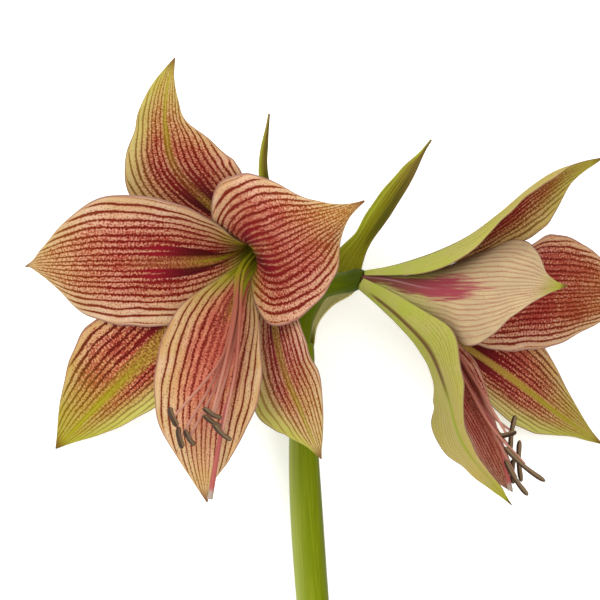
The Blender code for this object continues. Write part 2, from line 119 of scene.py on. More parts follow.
# Tepals: kind, angle round the bloom, midrib from the ovary as (along, out, aside), then the half widths,
# their shares at the stations between root and tip, the turns of the two halves in degrees and the roll
# about the midrib. ROOT_OUT is how far out from the bloom's axis a tepal starts, and ROOT_WIDTH its half
# width there. TIP_SHARE is what is left of the half width at the tip.
STATIONS = (0, 0.12, 0.2, 0.28, 0.42, 0.5, 0.56, 0.63, 0.72, 0.79, 0.86, 0.95, 1)
ROOT_WIDTH = {"sepal": 4.5, "petal": 3.6}
TIP_SHARE = 0.008
ROOT_OUT = {"sepal": 5, "petal": 4}
TURN_STATIONS = (0, 0.3, 0.6, 0.85, 1)
FLAT_TURN = (60, 40, 20, 0, 0)
DEEP_TURN = (60, 60, 60, 45, 15)
NO_ROLL = (0, 0, 0, 0, 0)
TEPALS = {
    "left": {
        "sepal_top": (
            "sepal", 90,
            (
                (16, 10, 1), (31, 18, 4), (43, 33, 10), (58, 58, 19),
                (66, 80, 16.5), (69, 100, 11), (67, 114, 6),
            ),
            (32, 29),
            (
                (0.28, 0.40, 0.50, 0.97, 1.06, 1.03, 0.95, 0.66, 0.30, 0.18, 0.06),
                (0.31, 0.42, 0.50, 0.98, 1.03, 0.98, 0.77, 0.55, 0.47, 0.34, 0.14),
            ),
            ((60, 40, 0, -10, 0), FLAT_TURN), NO_ROLL,
        ),
        "sepal_lower_left": (
            "sepal", 210,
            ((16, 9.5, 1), (30, 15, 3), (46, 25, 4.5), (62, 46, 7), (75.5, 80, 13), (82.8, 121.3, 20.8)),
            (34, 24),
            (
                (0.26, 0.33, 0.42, 0.78, 0.89, 0.93, 0.94, 0.80, 0.66, 0.47, 0.17),
                (0.37, 0.44, 0.48, 0.87, 0.96, 0.98, 0.90, 0.75, 0.61, 0.44, 0.15),
            ),
            (FLAT_TURN, FLAT_TURN), NO_ROLL,
        ),
        "sepal_lower_right": (
            "sepal", 330,
            (
                (16, 9.5, -1), (27, 14.5, -3), (46, 27, -15), (68, 45, -23.5),
                (87, 64, -28.5), (97, 82, -39),
            ),
            (27, 30),
            (
                (0.33, 0.42, 0.46, 0.84, 0.95, 1.00, 1.05, 0.93, 0.74, 0.53, 0.17),
                (0.30, 0.36, 0.44, 0.66, 0.74, 0.70, 0.72, 0.71, 0.74, 0.47, 0.14),
            ),
            (FLAT_TURN, (60, 25, -5, 0, 0)), NO_ROLL,
        ),
        "petal_left": (
            "petal", 150,
            ((16, 6, 0), (30, 8, 0), (45, 15, 2), (73, 42, 7), (86, 67, 16), (86, 82, 25), (78, 91, 35)),
            (40, 34),
            (
                (0.15, 0.24, 0.50, 0.90, 0.98, 1.01, 1.00, 0.81, 0.53, 0.26, 0.07),
                (0.18, 0.28, 0.50, 0.93, 1.00, 1.00, 0.99, 0.91, 0.74, 0.36, 0.04),
            ),
            ((60, 50, 10, -10, -10), (60, 60, 10, -10, -10)), NO_ROLL,
        ),
        "petal_right": (
            "petal", 30,
            (
                (16, 6, 0.5), (30, 8, 2), (48, 15.5, 6), (70, 39, 3),
                (85, 68, 2.5), (87, 85.5, 0.5), (81, 96.5, -1),
            ),
            (42, 41),
            (
                (0.14, 0.21, 0.36, 0.92, 0.90, 0.82, 0.72, 0.61, 0.46, 0.28, 0.06),
                (0.14, 0.19, 0.27, 0.69, 0.91, 0.97, 0.93, 0.70, 0.41, 0.24, 0.06),
            ),
            ((60, 75, -5, -50, -20), (60, 65, 0, -30, -20)), NO_ROLL,
        ),
        "petal_bottom": (
            "petal", 270,
            (
                (16, 6, 0), (30, 7, 0), (50, 13, -1), (70, 26, -2),
                (90, 43, -4), (105, 68, -4.5), (110, 92.8, -4.5),
            ),
            (29, 26),
            (
                (0.20, 0.30, 0.46, 0.92, 1.00, 1.00, 0.97, 0.86, 0.71, 0.46, 0.17),
                (0.22, 0.27, 0.32, 0.72, 0.90, 1.00, 1.06, 1.00, 0.80, 0.56, 0.10),
            ),
            ((60, 55, 20, 10, 0), (60, 50, 12, 10, 0)), NO_ROLL,
        ),
    },
    "right": {
        "sepal_top": (
            "sepal", 90,
            (
                (16, 13.2, 0), (33, 25, 0), (45.5, 36.5, 0), (56.5, 51, 0),
                (67.5, 67, 0), (79, 79.5, 0), (98, 92.5, 0),
            ),
            (30, 29),
            (
                (0.31, 0.40, 0.46, 0.62, 0.76, 0.90, 0.92, 0.78, 0.56, 0.33, 0.12),
                (0.36, 0.54, 0.64, 0.60, 0.42, 0.36, 0.38, 0.46, 0.46, 0.32, 0.12),
            ),
            (DEEP_TURN, DEEP_TURN), (0, 0, -10, -18, -18),
        ),
        "sepal_near": (
            "sepal", 210,
            (
                (14, 11.5, 1), (27, 17, 4), (44.5, 24.5, 11.5), (59, 35, 25),
                (73.5, 45.5, 43.4), (105, 56.5, 63),
            ),
            (26, 29),
            (
                (0.28, 0.38, 0.52, 0.92, 0.88, 0.74, 0.60, 0.36, 0.21, 0.13, 0.06),
                (0.31, 0.36, 0.38, 0.66, 0.88, 1.16, 1.42, 0.98, 0.54, 0.32, 0.10),
            ),
            ((60, 35, 15, 10, 0), (60, 30, -10, -10, 0)), (0, 10, 24, 24, 10),
        ),
        "sepal_far": (
            "sepal", 330,
            (
                (16, 12, 0), (31, 19, 0), (53, 35.5, 0), (71, 48.5, 0),
                (90.5, 67, 1), (107, 84.5, 2), (130.5, 105.5, 4),
            ),
            (24, 28),
            (
                (0.37, 0.44, 0.48, 0.87, 0.96, 1.00, 0.94, 0.76, 0.55, 0.31, 0.10),
                (0.32, 0.42, 0.48, 0.87, 0.96, 0.98, 0.91, 0.75, 0.60, 0.39, 0.11),
            ),
            (FLAT_TURN, FLAT_TURN), NO_ROLL,
        ),
        "petal_near": (
            "petal", 150,
            ((16, 9.5, 0), (35.5, 12.5, 0), (61, 26.5, 0), (82.5, 41.5, 0), (103.5, 56, 0)),
            (38, 28),
            (
                (0.13, 0.22, 0.48, 0.97, 1.04, 1.02, 0.95, 0.76, 0.52, 0.25, 0.06),
                (0.22, 0.34, 0.44, 0.74, 1.00, 1.00, 0.86, 0.60, 0.42, 0.25, 0.07),
            ),
            ((60, 50, 30, 20, 0), (60, 65, 45, 20, 0)), NO_ROLL,
        ),
        "petal_far": (
            "petal", 30,
            ((16, 8.5, 0), (32.5, 10, 0), (57, 17.5, 0), (83.5, 37.5, 0), (106, 53, 0), (125, 65.5, 0)),
            (36, 40),
            (
                (0.17, 0.27, 0.40, 0.70, 0.80, 0.86, 0.90, 0.88, 0.82, 0.69, 0.34),
                (0.15, 0.28, 0.42, 0.76, 0.94, 1.03, 0.98, 0.84, 0.67, 0.47, 0.20),
            ),
            ((60, 60, 20, 0, 0), (60, 60, 20, 0, 0)), NO_ROLL,
        ),
        "petal_bottom": (
            "petal", 270,
            ((14, 8.5, 0), (28, 11.5, 0), (52, 28, 0), (76, 49, 2), (91, 65.5, 4), (101.5, 78.5, 4)),
            (25, 14.5),
            (
                (0.26, 0.36, 0.44, 0.76, 0.86, 0.95, 1.05, 1.08, 1, 0.84, 0.38),
                (0.36, 0.48, 0.58, 1.08, 1.12, 1.02, 0.80, 0.54, 0.40, 0.27, 0.08),
            ),
            ((60, 60, 40, 30, 0), (60, 60, 50, 40, 0)), (0, 10, 28, 30, 30),
        ),
    },
}

# Stamens: throat collar, then each filament's angle on it, its way as (along, side, up) and the two ends
# of its anther
RING_RADII = (1.6, 2.5)
RING_SPAN = (0.0, 3.2)
FILAMENT_ROOT_RADIUS = 2.05
FILAMENT_RADII = (0.5, 0.75, 0.8, 0.6)
ANTHER_RADIUS = 1.6
STAMENS = {
    "left": (
        (
            130, ((56.5, 4.6, 3.4), (79.5, 10, -8.5), (99, 9.5, -23)),
            ((118, -12, -41), (131.5, -3, -44)),
        ),
        (
            180, ((56, 4.4, 1.4), (79, 9, -10.5), (99, 7.5, -28)),
            ((116.5, -10, -51.5), (130.5, -2.5, -55.5)),
        ),
        (
            230, ((55, 5.2, -0.4), (78.5, 9.5, -12.5), (97.5, 7.5, -31.5)),
            ((124, -3, -49.5), (114, -4.5, -61)),
        ),
        (
            80, ((57, 6.2, 4.4), (80.5, 11.5, -7.5), (99, 12.5, -21.5)),
            ((127.5, 10, -36.5), (115.5, 12, -46.5)),
        ),
        (
            340, ((55.5, 6.8, 1.6), (78.5, 11.5, -11), (97.5, 11.5, -28.5)),
            ((121, 6.5, -43), (110, 8.5, -53)),
        ),
        (
            30, ((57, 8, 3.4), (80.5, 13.5, -9), (101, 17, -26.5)),
            ((127, 13.5, -45), (117, 16, -57)),
        ),
    ),
    "right": (
        (
            170, ((46.5, -6.5, -12.5), (67.5, -9.5, -29)),
            ((88, -12, -53), (97, -22, -47.5)),
        ),
        (
            60, ((46.5, -2.5, -12.5), (68, -3, -30.5), (82, -4.5, -44.5)),
            ((93, -5.5, -41), (95.5, -4, -58.5)),
        ),
        (
            10, ((47, 0.5, -13.5), (68, 1, -31.5), (83, -1, -48.5)),
            ((98, -1, -52.5), (105, -3, -72)),
        ),
        (
            120, ((46, -9, -15), (66, -14, -32.5), (83.5, -16, -48.5)),
            ((93.5, -18.5, -56.5), (117.5, -16.5, -67)),
        ),
        (
            220, ((46, -5.5, -15.5), (66, -8, -33.5), (84, -10, -50.5)),
            ((95, -12.5, -63), (110.5, -7.5, -77)),
        ),
        (
            320, ((46, 2.5, -15.5), (66.5, 4, -32), (83.5, 2, -49.5)),
            ((97.5, 1.5, -62.5), (101, 1.5, -74.5)),
        ),
    ),
}

# Styles: way points as (along, side, up) and the radii along them
STYLE_START = 0.0
STYLE_RADII = (0.8, 0.95, 0.95, 1, 1.3)
STYLES = {
    "left": (
        (4, 0, 0), (16, 0.8, -2.9), (48, 3.6, -6), (70, 7, -16),
        (89.5, 11, -34.5), (103, 8, -51), (125, 4.5, -84),
    ),
    "right": (
        (4, 0, 0), (16, 0, -3), (46.5, -1, -19), (67, -2.5, -35.5),
        (87, -6, -53), (101.5, -8, -77),
    ),
}

# How a tepal's inner face is painted where LOOKS says nothing else
PLAIN_LOOK = {
    # Red wash: amount, reach toward each margin, and where along the blade it begins and ends to fade
    "wash": 1.0,
    "reach": (1.0, 1.0),
    "fade": (0.65, 1.05),
    # Dark specks in the wash: amount, how far they are drawn lengthwise, and how softly they blend
    "specks": 0.2,
    "combed": 0.25,
    "soft": 0.0,
    # Maroon streaks beside the midrib: strength, breadth, and how crimson their outer ends are
    "streak": 1.0,
    "streak_width": 1.0,
    "crimson": 0.3,
    # Veins: share of the full count, and how thin each is
    "veins": 1.0,
    "line": 0.66,
    # Midrib: speckled, tan or pink, where it ends, half breadth in veins, and amount of dark freckles
    "rib": "speckled",
    "rib_end": 0.6,
    "band": 1.5,
    "freckles": 0.85,
    # Yellow in the ground, green of the tip, and green of each margin
    "yellow": 0.25,
    "tip": 0.8,
    "rims": (0.0, 0.0),
}
# What each tepal's inner face has of its own
LOOKS = {
    "left_sepal_top": {
        "wash": 0.95, "reach": (1.0, 0.85), "fade": (0.65, 1.15), "streak": 0.8, "veins": 0.85,
        "yellow": 0.4, "tip": 0.65, "rims": (0.0, 0.5),
    },
    "left_sepal_lower_left": {
        "wash": 0.95, "reach": (1.0, 0.9), "fade": (0.7, 1.05), "specks": 0.24, "veins": 0.8,
        "rib_end": 1.0, "band": 2.2, "yellow": 0.75, "tip": 0.85, "rims": (0.0, 0.9),
    },
    "left_sepal_lower_right": {
        "wash": 0.85, "reach": (0.75, 0.95), "specks": 0.22, "streak": 0.7, "crimson": 0.7, "veins": 0.65,
        "rib_end": 0.8, "yellow": 0.15, "tip": 0.5, "rims": (0.95, 0.0),
    },
    "left_petal_left": {
        "wash": 0.95, "reach": (0.85, 0.8), "fade": (0.65, 1.25), "streak": 0.9, "crimson": 0.9,
        "veins": 0.9, "rib": "tan", "rib_end": 0.7, "tip": 0.4,
    },
    "left_petal_right": {
        "reach": (1.1, 0.95), "fade": (0.75, 1.4), "specks": 0.21, "streak": 0.4, "streak_width": 1.4,
        "crimson": 1.0, "line": 0.64, "rib": "pink", "rib_end": 0.3, "tip": 0.35,
    },
    # Its maroon streaks are partly its own and partly painted shade below the throat
    "left_petal_bottom": {
        "reach": (0.7, 0.7), "fade": (0.55, 1.0), "combed": 0.85, "soft": 0.8, "streak": 0.5, "crimson": 0.1,
        "veins": 0.7, "line": 0.75, "rib": "pink", "rib_end": 1.0, "band": 3.0, "yellow": 0.55, "tip": 0.1,
    },
    "right_sepal_top": {
        "fade": (0.7, 1.05), "specks": 0.26, "rib_end": 0.3, "yellow": 0.6, "rims": (0.5, 0.3),
    },
    "right_sepal_near": {
        "wash": 0.6, "reach": (0.8, 0.8), "fade": (0.5, 0.95), "streak": 0.8, "yellow": 0.8, "tip": 0.9,
        "rims": (0.3, 0.3),
    },
    "right_sepal_far": {
        "reach": (0.85, 1.0), "fade": (0.6, 1.05), "specks": 0.24, "veins": 0.85, "rib_end": 1.0,
        "band": 1.2, "freckles": 0.25, "yellow": 0.6, "tip": 0.75, "rims": (0.9, 0.1),
    },
    "right_petal_near": {
        "wash": 0.8, "reach": (0.8, 0.8), "fade": (0.5, 0.95), "streak": 0.9, "rib": "tan", "yellow": 0.2,
    },
    "right_petal_far": {
        "wash": 1.1, "reach": (0.95, 1.05), "fade": (0.8, 1.2), "specks": 0.24, "rib": "tan",
        "yellow": 0.3, "tip": 0.2,
    },
    "right_petal_bottom": {
        "reach": (1.2, 1.2), "fade": (0.8, 1.2), "combed": 0.85, "soft": 0.7, "streak": 0.2, "veins": 0.8,
        "line": 0.76, "rib": "pink", "rib_end": 1.0, "band": 3.0, "yellow": 0.0, "tip": 0.1,
    },
}

# Camera: the photograph's own view, in the upright plant's frame
VIEW_CENTRE = (-2.0, 20.0)
VIEW_DISTANCE = 1500.0
VIEW_WIDTH = 300.0
SENSOR = 36.0

# Lights: the place of each in the upright plant's frame, and its side in metres
LIGHTS = {
    "key": ((-350.0, 300.0, 1250.0), 1.1),
    "fill": ((800.0, -100.0, 900.0), 1.0),
}
WHITE = (1.0, 1.0, 1.0, 1.0)

# The grain maps count centimetres
GRAIN_UNIT = 0.1
# A direction that no line of the plant follows, from which cross sections start
ODD_WAY = (0.31, 0.17, 0.93)
# Points of a line from which its even spacing is measured
DENSE = 600
# Factor on the phase of the first of several waves; each further one has 1 more
WAVE_STAGGER = 1.37
# Points closer than this are one, in metres
WELD = 1e-7
# Edges that turn more than this stay sharp, in degrees: green parts, then filaments and styles
CREASE = 50.0
FINE_CREASE = 60.0


def tone(code):
    """Linear colour from a screen colour such as 'C08040'."""
    values = [int(code[k:k + 2], 16) / 255.0 for k in (0, 2, 4)]
    return tuple(v / 12.92 if v <= 0.04045 else ((v + 0.055) / 1.055) ** 2.4 for v in values)


def colour(name, description, code):
    """A colour setting with its default."""
    return FloatVectorProperty(
        name=name, description=description, subtype="COLOR", size=3, min=0.0, max=1.0, default=tone(code),
    )


def length(name, description, default, low, high):
    """A length setting, given in millimetres."""
    return FloatProperty(
        name=name, description=description, default=default * MM, min=low * MM, max=high * MM,
        precision=5, unit="LENGTH",
    )


def vein_count(name, description):
    """A setting for the veins on each side of a midrib."""
    return IntProperty(name=name, description=description, default=11, min=3, max=20)


def strength(name, description, default, high, kind="NONE"):
    """A setting for an amount of light."""
    return FloatProperty(name=name, description=description, default=default, min=0.0, max=high, unit=kind)


class AmaryllisTepals(bpy.types.PropertyGroup):
    """Sizes and colours of the tepals"""
    rib_thickness: length("Rib thickness", "Thickness of a tepal at its midrib", 0.9, 0.2, 2.0)
    margin_thickness: FloatProperty(
        name="Margin thickness", description="Thickness of a tepal at its margin, as a share of the rib's",
        default=0.4, min=0.1, max=1.0, subtype="FACTOR",
    )
    margin_wave: length("Margin wave", "How far the margin waves to either side", 0.9, 0.0, 4.0)
    flute: length("Flute", "Depth of the furrows between the veins", 0.08, 0.0, 0.5)
    petal_veins: vein_count("Petal veins", "Veins on each side of a petal's midrib")
    sepal_veins: vein_count("Sepal veins", "Veins on each side of a sepal's midrib")
    cream: colour("Cream", "Ground of the petals' inner face", "C5A18A")
    cream_pale: colour("Pale cream", "Paler patches of the inner face", "CCB298")
    straw: colour("Straw", "Yellower ground of the sepals' inner face", "B89450")
    vein: colour("Vein", "Lines of the inner face", "6E120A")
    red: colour("Red", "Specks between the veins", "8E1A1A")
    pink: colour("Pink", "Wash between the veins", "B85E4C")
    crimson: colour("Crimson", "Outer ends of the streaks", "860E24")
    maroon: colour("Maroon", "Dark streaks beside the midrib", "44060C")
    # The throat's own green, brightened with painted light against the shade deep in the throat
    throat: colour("Throat", "Green of the throat", "8C8E0C")
    tip: colour("Tip", "Yellow green of the tips", "8E8A10")
    gold: colour("Gold", "Speckled midrib of the sepals", "A8883A")
    margin: colour("Margin", "Thin line along the margin", "7A4E50")
    back: colour("Back", "Ground of the outer face", "AE9874")
    back_sepal: colour("Back of sepals", "Ground of the sepals' outer face", "AA9654")
    back_green: colour("Back green", "Green of the outer face near its base", "98A03E")
    flush: colour("Flush", "Pink flush on the outer face", "8C2E42")


class AmaryllisGreens(bpy.types.PropertyGroup):
    """Sizes and colours of the stalk, pedicels and spathe"""
    rib_depth: length("Rib depth", "Height of the faint ribs along the stalk", 0.06, 0.0, 0.5)
    valve_thickness: length("Valve thickness", "Thickness of a spathe valve", 0.9, 0.2, 2.0)
    stalk: colour("Stalk", "Main green of the stalk", "667402")
    stalk_pale: colour("Stalk streak", "Pale streaks of the stalk", "80881C")
    stalk_deep: colour("Stalk deep", "Deep green of the stalk", "5E6C08")
    pedicel: colour("Pedicel", "Green of the pedicels and ovaries", "4E5A00")
    valve: colour("Valve", "Green of the spathe valves", "706C04")
    valve_dry: colour("Valve dry", "Brown of the spathe's dry tips and margins", "7A5A34")


class AmaryllisStamens(bpy.types.PropertyGroup):
    """Colours of the stamens and styles"""
    filament_base: colour("Filament base", "Green of the filaments in the throat", "8E8E14")
    filament: colour("Filament", "Filaments beyond the throat", "92503E")
    filament_tip: colour("Filament tip", "Pale end of the filaments", "A87460")
    anther: colour("Anther", "Ripe anthers", "66503A")
    anther_side: colour("Anther side", "Dark sides of the anthers", "2E1A10")
    style: colour("Style", "Style beyond the throat", "98463E")
    stigma: colour("Stigma", "Blunt end of the style", "958474")


class AmaryllisStage(bpy.types.PropertyGroup):
    """Floor and light"""
    floor: colour("Floor", "Pale floor", "FDFDFC")
    glow: strength("Glow", "How much the floor is lit from below", 0.3, 2.0)
    sky: strength("Sky", "Strength of the even light", 0.8, 3.0)
    key: strength("Key light", "Power of the soft light from the upper left", 15.2, 200.0, "POWER")
    fill: strength("Fill light", "Power of the soft light from the right", 3.0, 200.0, "POWER")


def hermite(knots, values, x):
    """Smooth curve through values at knots."""
    knots = np.asarray(knots, float)
    values = np.asarray(values, float).reshape(len(knots), -1)
    x = np.clip(np.asarray(x, float), knots[0], knots[-1])
    gaps = np.diff(knots)
    slopes = np.diff(values, axis=0) / gaps[:, None]
    ends = np.empty_like(values)
    ends[0] = slopes[0]
    ends[-1] = slopes[-1]
    before = gaps[:-1, None]
    after = gaps[1:, None]
    ends[1:-1] = (slopes[:-1] * after + slopes[1:] * before) / (after + before)
    i = np.clip(np.searchsorted(knots, x, side="right") - 1, 0, len(knots) - 2)
    s = ((x - knots[i]) / gaps[i])[:, None]
    g = gaps[i][:, None]
    return (
        (2 * s**3 - 3 * s**2 + 1) * values[i]
        + (s**3 - 2 * s**2 + s) * g * ends[i]
        + (3 * s**2 - 2 * s**3) * values[i + 1]
        + (s**3 - s**2) * g * ends[i + 1]
    )


def stretches(points):
    """Distances from each point of a line to the next."""
    return np.linalg.norm(np.diff(points, axis=0), axis=1)


def running(lengths):
    """Running total of lengths, from 0."""
    return np.concatenate([[0.0], np.cumsum(lengths)])


def smooth_line(points, count):
    """Points at even spacing on a smooth curve through the way points."""
    points = np.asarray(points, float)
    knots = running(np.sqrt(stretches(points)))
    dense = hermite(knots, points, np.linspace(0.0, knots[-1], DENSE))
    run = running(stretches(dense))
    even = np.linspace(0.0, run[-1], count)
    return np.stack([np.interp(even, run, dense[:, k]) for k in range(3)], axis=-1)


def spread(values, count):
    """Values spread smoothly over an even count of steps."""
    return hermite(np.linspace(0.0, 1.0, len(values)), values, np.linspace(0.0, 1.0, count))[:, 0]


def rounded_end(radii, line, reach, drop):
    """Radii that fall off in a quarter round over the last reach of a line."""
    left = running(stretches(line[::-1]))[::-1]
    share = np.clip(1.0 - left / reach, 0.0, 1.0)
    return radii * (1.0 - drop * (1.0 - np.sqrt(1.0 - share**2)))


def unit(vector):
    """Vector of length one."""
    vector = np.asarray(vector, float)
    return vector / np.linalg.norm(vector)


def rows_unit(vectors):
    """Each row as a vector of length one."""
    return vectors / np.linalg.norm(vectors, axis=1)[:, None]


def tangents(line):
    """Unit directions along a line of points."""
    return rows_unit(np.gradient(line, axis=0))


def square_to(along, way):
    """A way made square to each of the directions along a line."""
    return rows_unit(way[None, :] - (along @ way)[:, None] * along)


def ease(low, high, x):
    """Smooth step from 0 at low to 1 at high."""
    share = np.clip((np.asarray(x, float) - low) / (high - low), 0.0, 1.0)
    return share * share * (3.0 - 2.0 * share)


def waves(along, phase, beats):
    """Uneven waving along a margin, from -1 to 1, with the waves of each beat started apart."""
    total = np.zeros_like(along)
    for k, (beat, size) in enumerate(beats):
        total += size * np.sin(2.0 * np.pi * (beat * along + phase * (k + WAVE_STAGGER)))
    return total


def bend(share, width, turn):
    """Sideways reach and lift of points on a bent half blade, and the angle they are bent by."""
    turn = np.where(np.abs(turn) < 1e-4, 1e-4, turn)
    radius = width / turn
    angle = np.abs(share) * turn
    return np.sign(share) * radius * np.sin(angle), radius * (1.0 - np.cos(angle)), angle


class Bloom:
    """The frame of one bloom: its base, its axis, and the up and side directions across it."""

    def __init__(self, which):
        self.base = np.asarray(BLOOMS[which]["base"], float)
        self.axis = unit(BLOOMS[which]["axis"])
        self.up = unit(np.array([0.0, 1.0, 0.0]) - self.axis[1] * self.axis)
        self.side = np.cross(self.up, self.axis)

    def outward(self, degrees):
        """Direction out from the axis at an angle round the bloom: 0 is its side, 90 is up."""
        angle = math.radians(degrees)
        return math.cos(angle) * self.side + math.sin(angle) * self.up

    def around(self, degrees):
        """Direction round the axis at that angle."""
        angle = math.radians(degrees)
        return math.cos(angle) * self.up - math.sin(angle) * self.side

    def rib_point(self, along, out, aside, degrees):
        """Point of the midrib of a tepal that stands at that angle."""
        return self.base + along * self.axis + out * self.outward(degrees) + aside * self.around(degrees)

    def point(self, along, side, up):
        """Point given along the axis, to its side and up from it."""
        return self.base + along * self.axis + side * self.side + up * self.up


def laid(points):
    """Upright millimetres to metres where the plant lies."""
    turn = np.array(PLANT.to_3x3())
    return (np.asarray(points, float) * MM) @ turn.T + np.array(PLANT.translation)


def write_mesh(shape, mesh):
    """Write a bmesh into a mesh and free it."""
    shape.to_mesh(mesh)
    shape.free()
    return mesh


def grid_mesh(name, columns, rows, place):
    """A grid moved to place(u, row), with u from -1 to 1 across, as a mesh with its values."""
    grid = bmesh.new()
    bmesh.ops.create_grid(grid, x_segments=columns, y_segments=rows, size=1.0)
    flat = np.array([v.co for v in grid.verts])
    u = flat[:, 0]
    row = np.rint((flat[:, 1] + 1.0) / 2.0 * rows).astype(int)
    for vertex, point in zip(grid.verts, laid(place(u, row))):
        vertex.co = point
    return write_mesh(grid, bpy.data.meshes.new(name)), u, row


def set_uv(mesh, name, across, along):
    """A UV map from two values for each point."""
    corners = np.empty(len(mesh.loops), np.int32)
    mesh.loops.foreach_get("vertex_index", corners)
    layer = mesh.uv_layers.new(name=name)
    layer.data.foreach_set("uv", np.stack([across, along], axis=-1).astype(np.float32)[corners].ravel())


def linked(name, data):
    """A new object of the scene that holds some data."""
    made = bpy.data.objects.new(name, data)
    bpy.context.scene.collection.objects.link(made)
    return made


def add_piece(mesh, node, materials, crease=None):
    """Link a finished mesh as a piece that stands for a CAD node and takes a finish slot."""
    for made in materials:
        mesh.materials.append(made)
    mesh.shade_smooth()
    if crease:
        mesh.set_sharp_from_angle(angle=math.radians(crease))
    piece = linked(mesh.name, mesh)
    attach(piece, BODY)
    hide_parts(node)
    return piece


def check_place(piece, node):
    """Stop if a piece doesn't lie where its CAD node lies."""
    low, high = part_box(node)
    points = np.array([v.co for v in piece.data.vertices])
    middle = (points.min(axis=0) + points.max(axis=0)) / 2.0
    apart = (Vector(middle) - (low + high) / 2.0).length
    if apart > PLACE_SLACK * MM:
        raise RuntimeError(f"{piece.name} lies {apart / MM:.1f} mm from {node}")


def thicken(piece, thickness, weights=None, back_material=0):
    """Give a blade its thickness, thinner where its weights are lower."""
    solid = piece.modifiers.new("thickness", "SOLIDIFY")
    solid.thickness = thickness
    solid.offset = 0.0
    solid.material_offset = back_material
    solid.use_even_offset = False
    if weights is not None:
        group = piece.vertex_groups.new(name="thick")
        for k, weight in enumerate(weights):
            group.add([k], float(weight), "REPLACE")
        solid.vertex_group = group.name


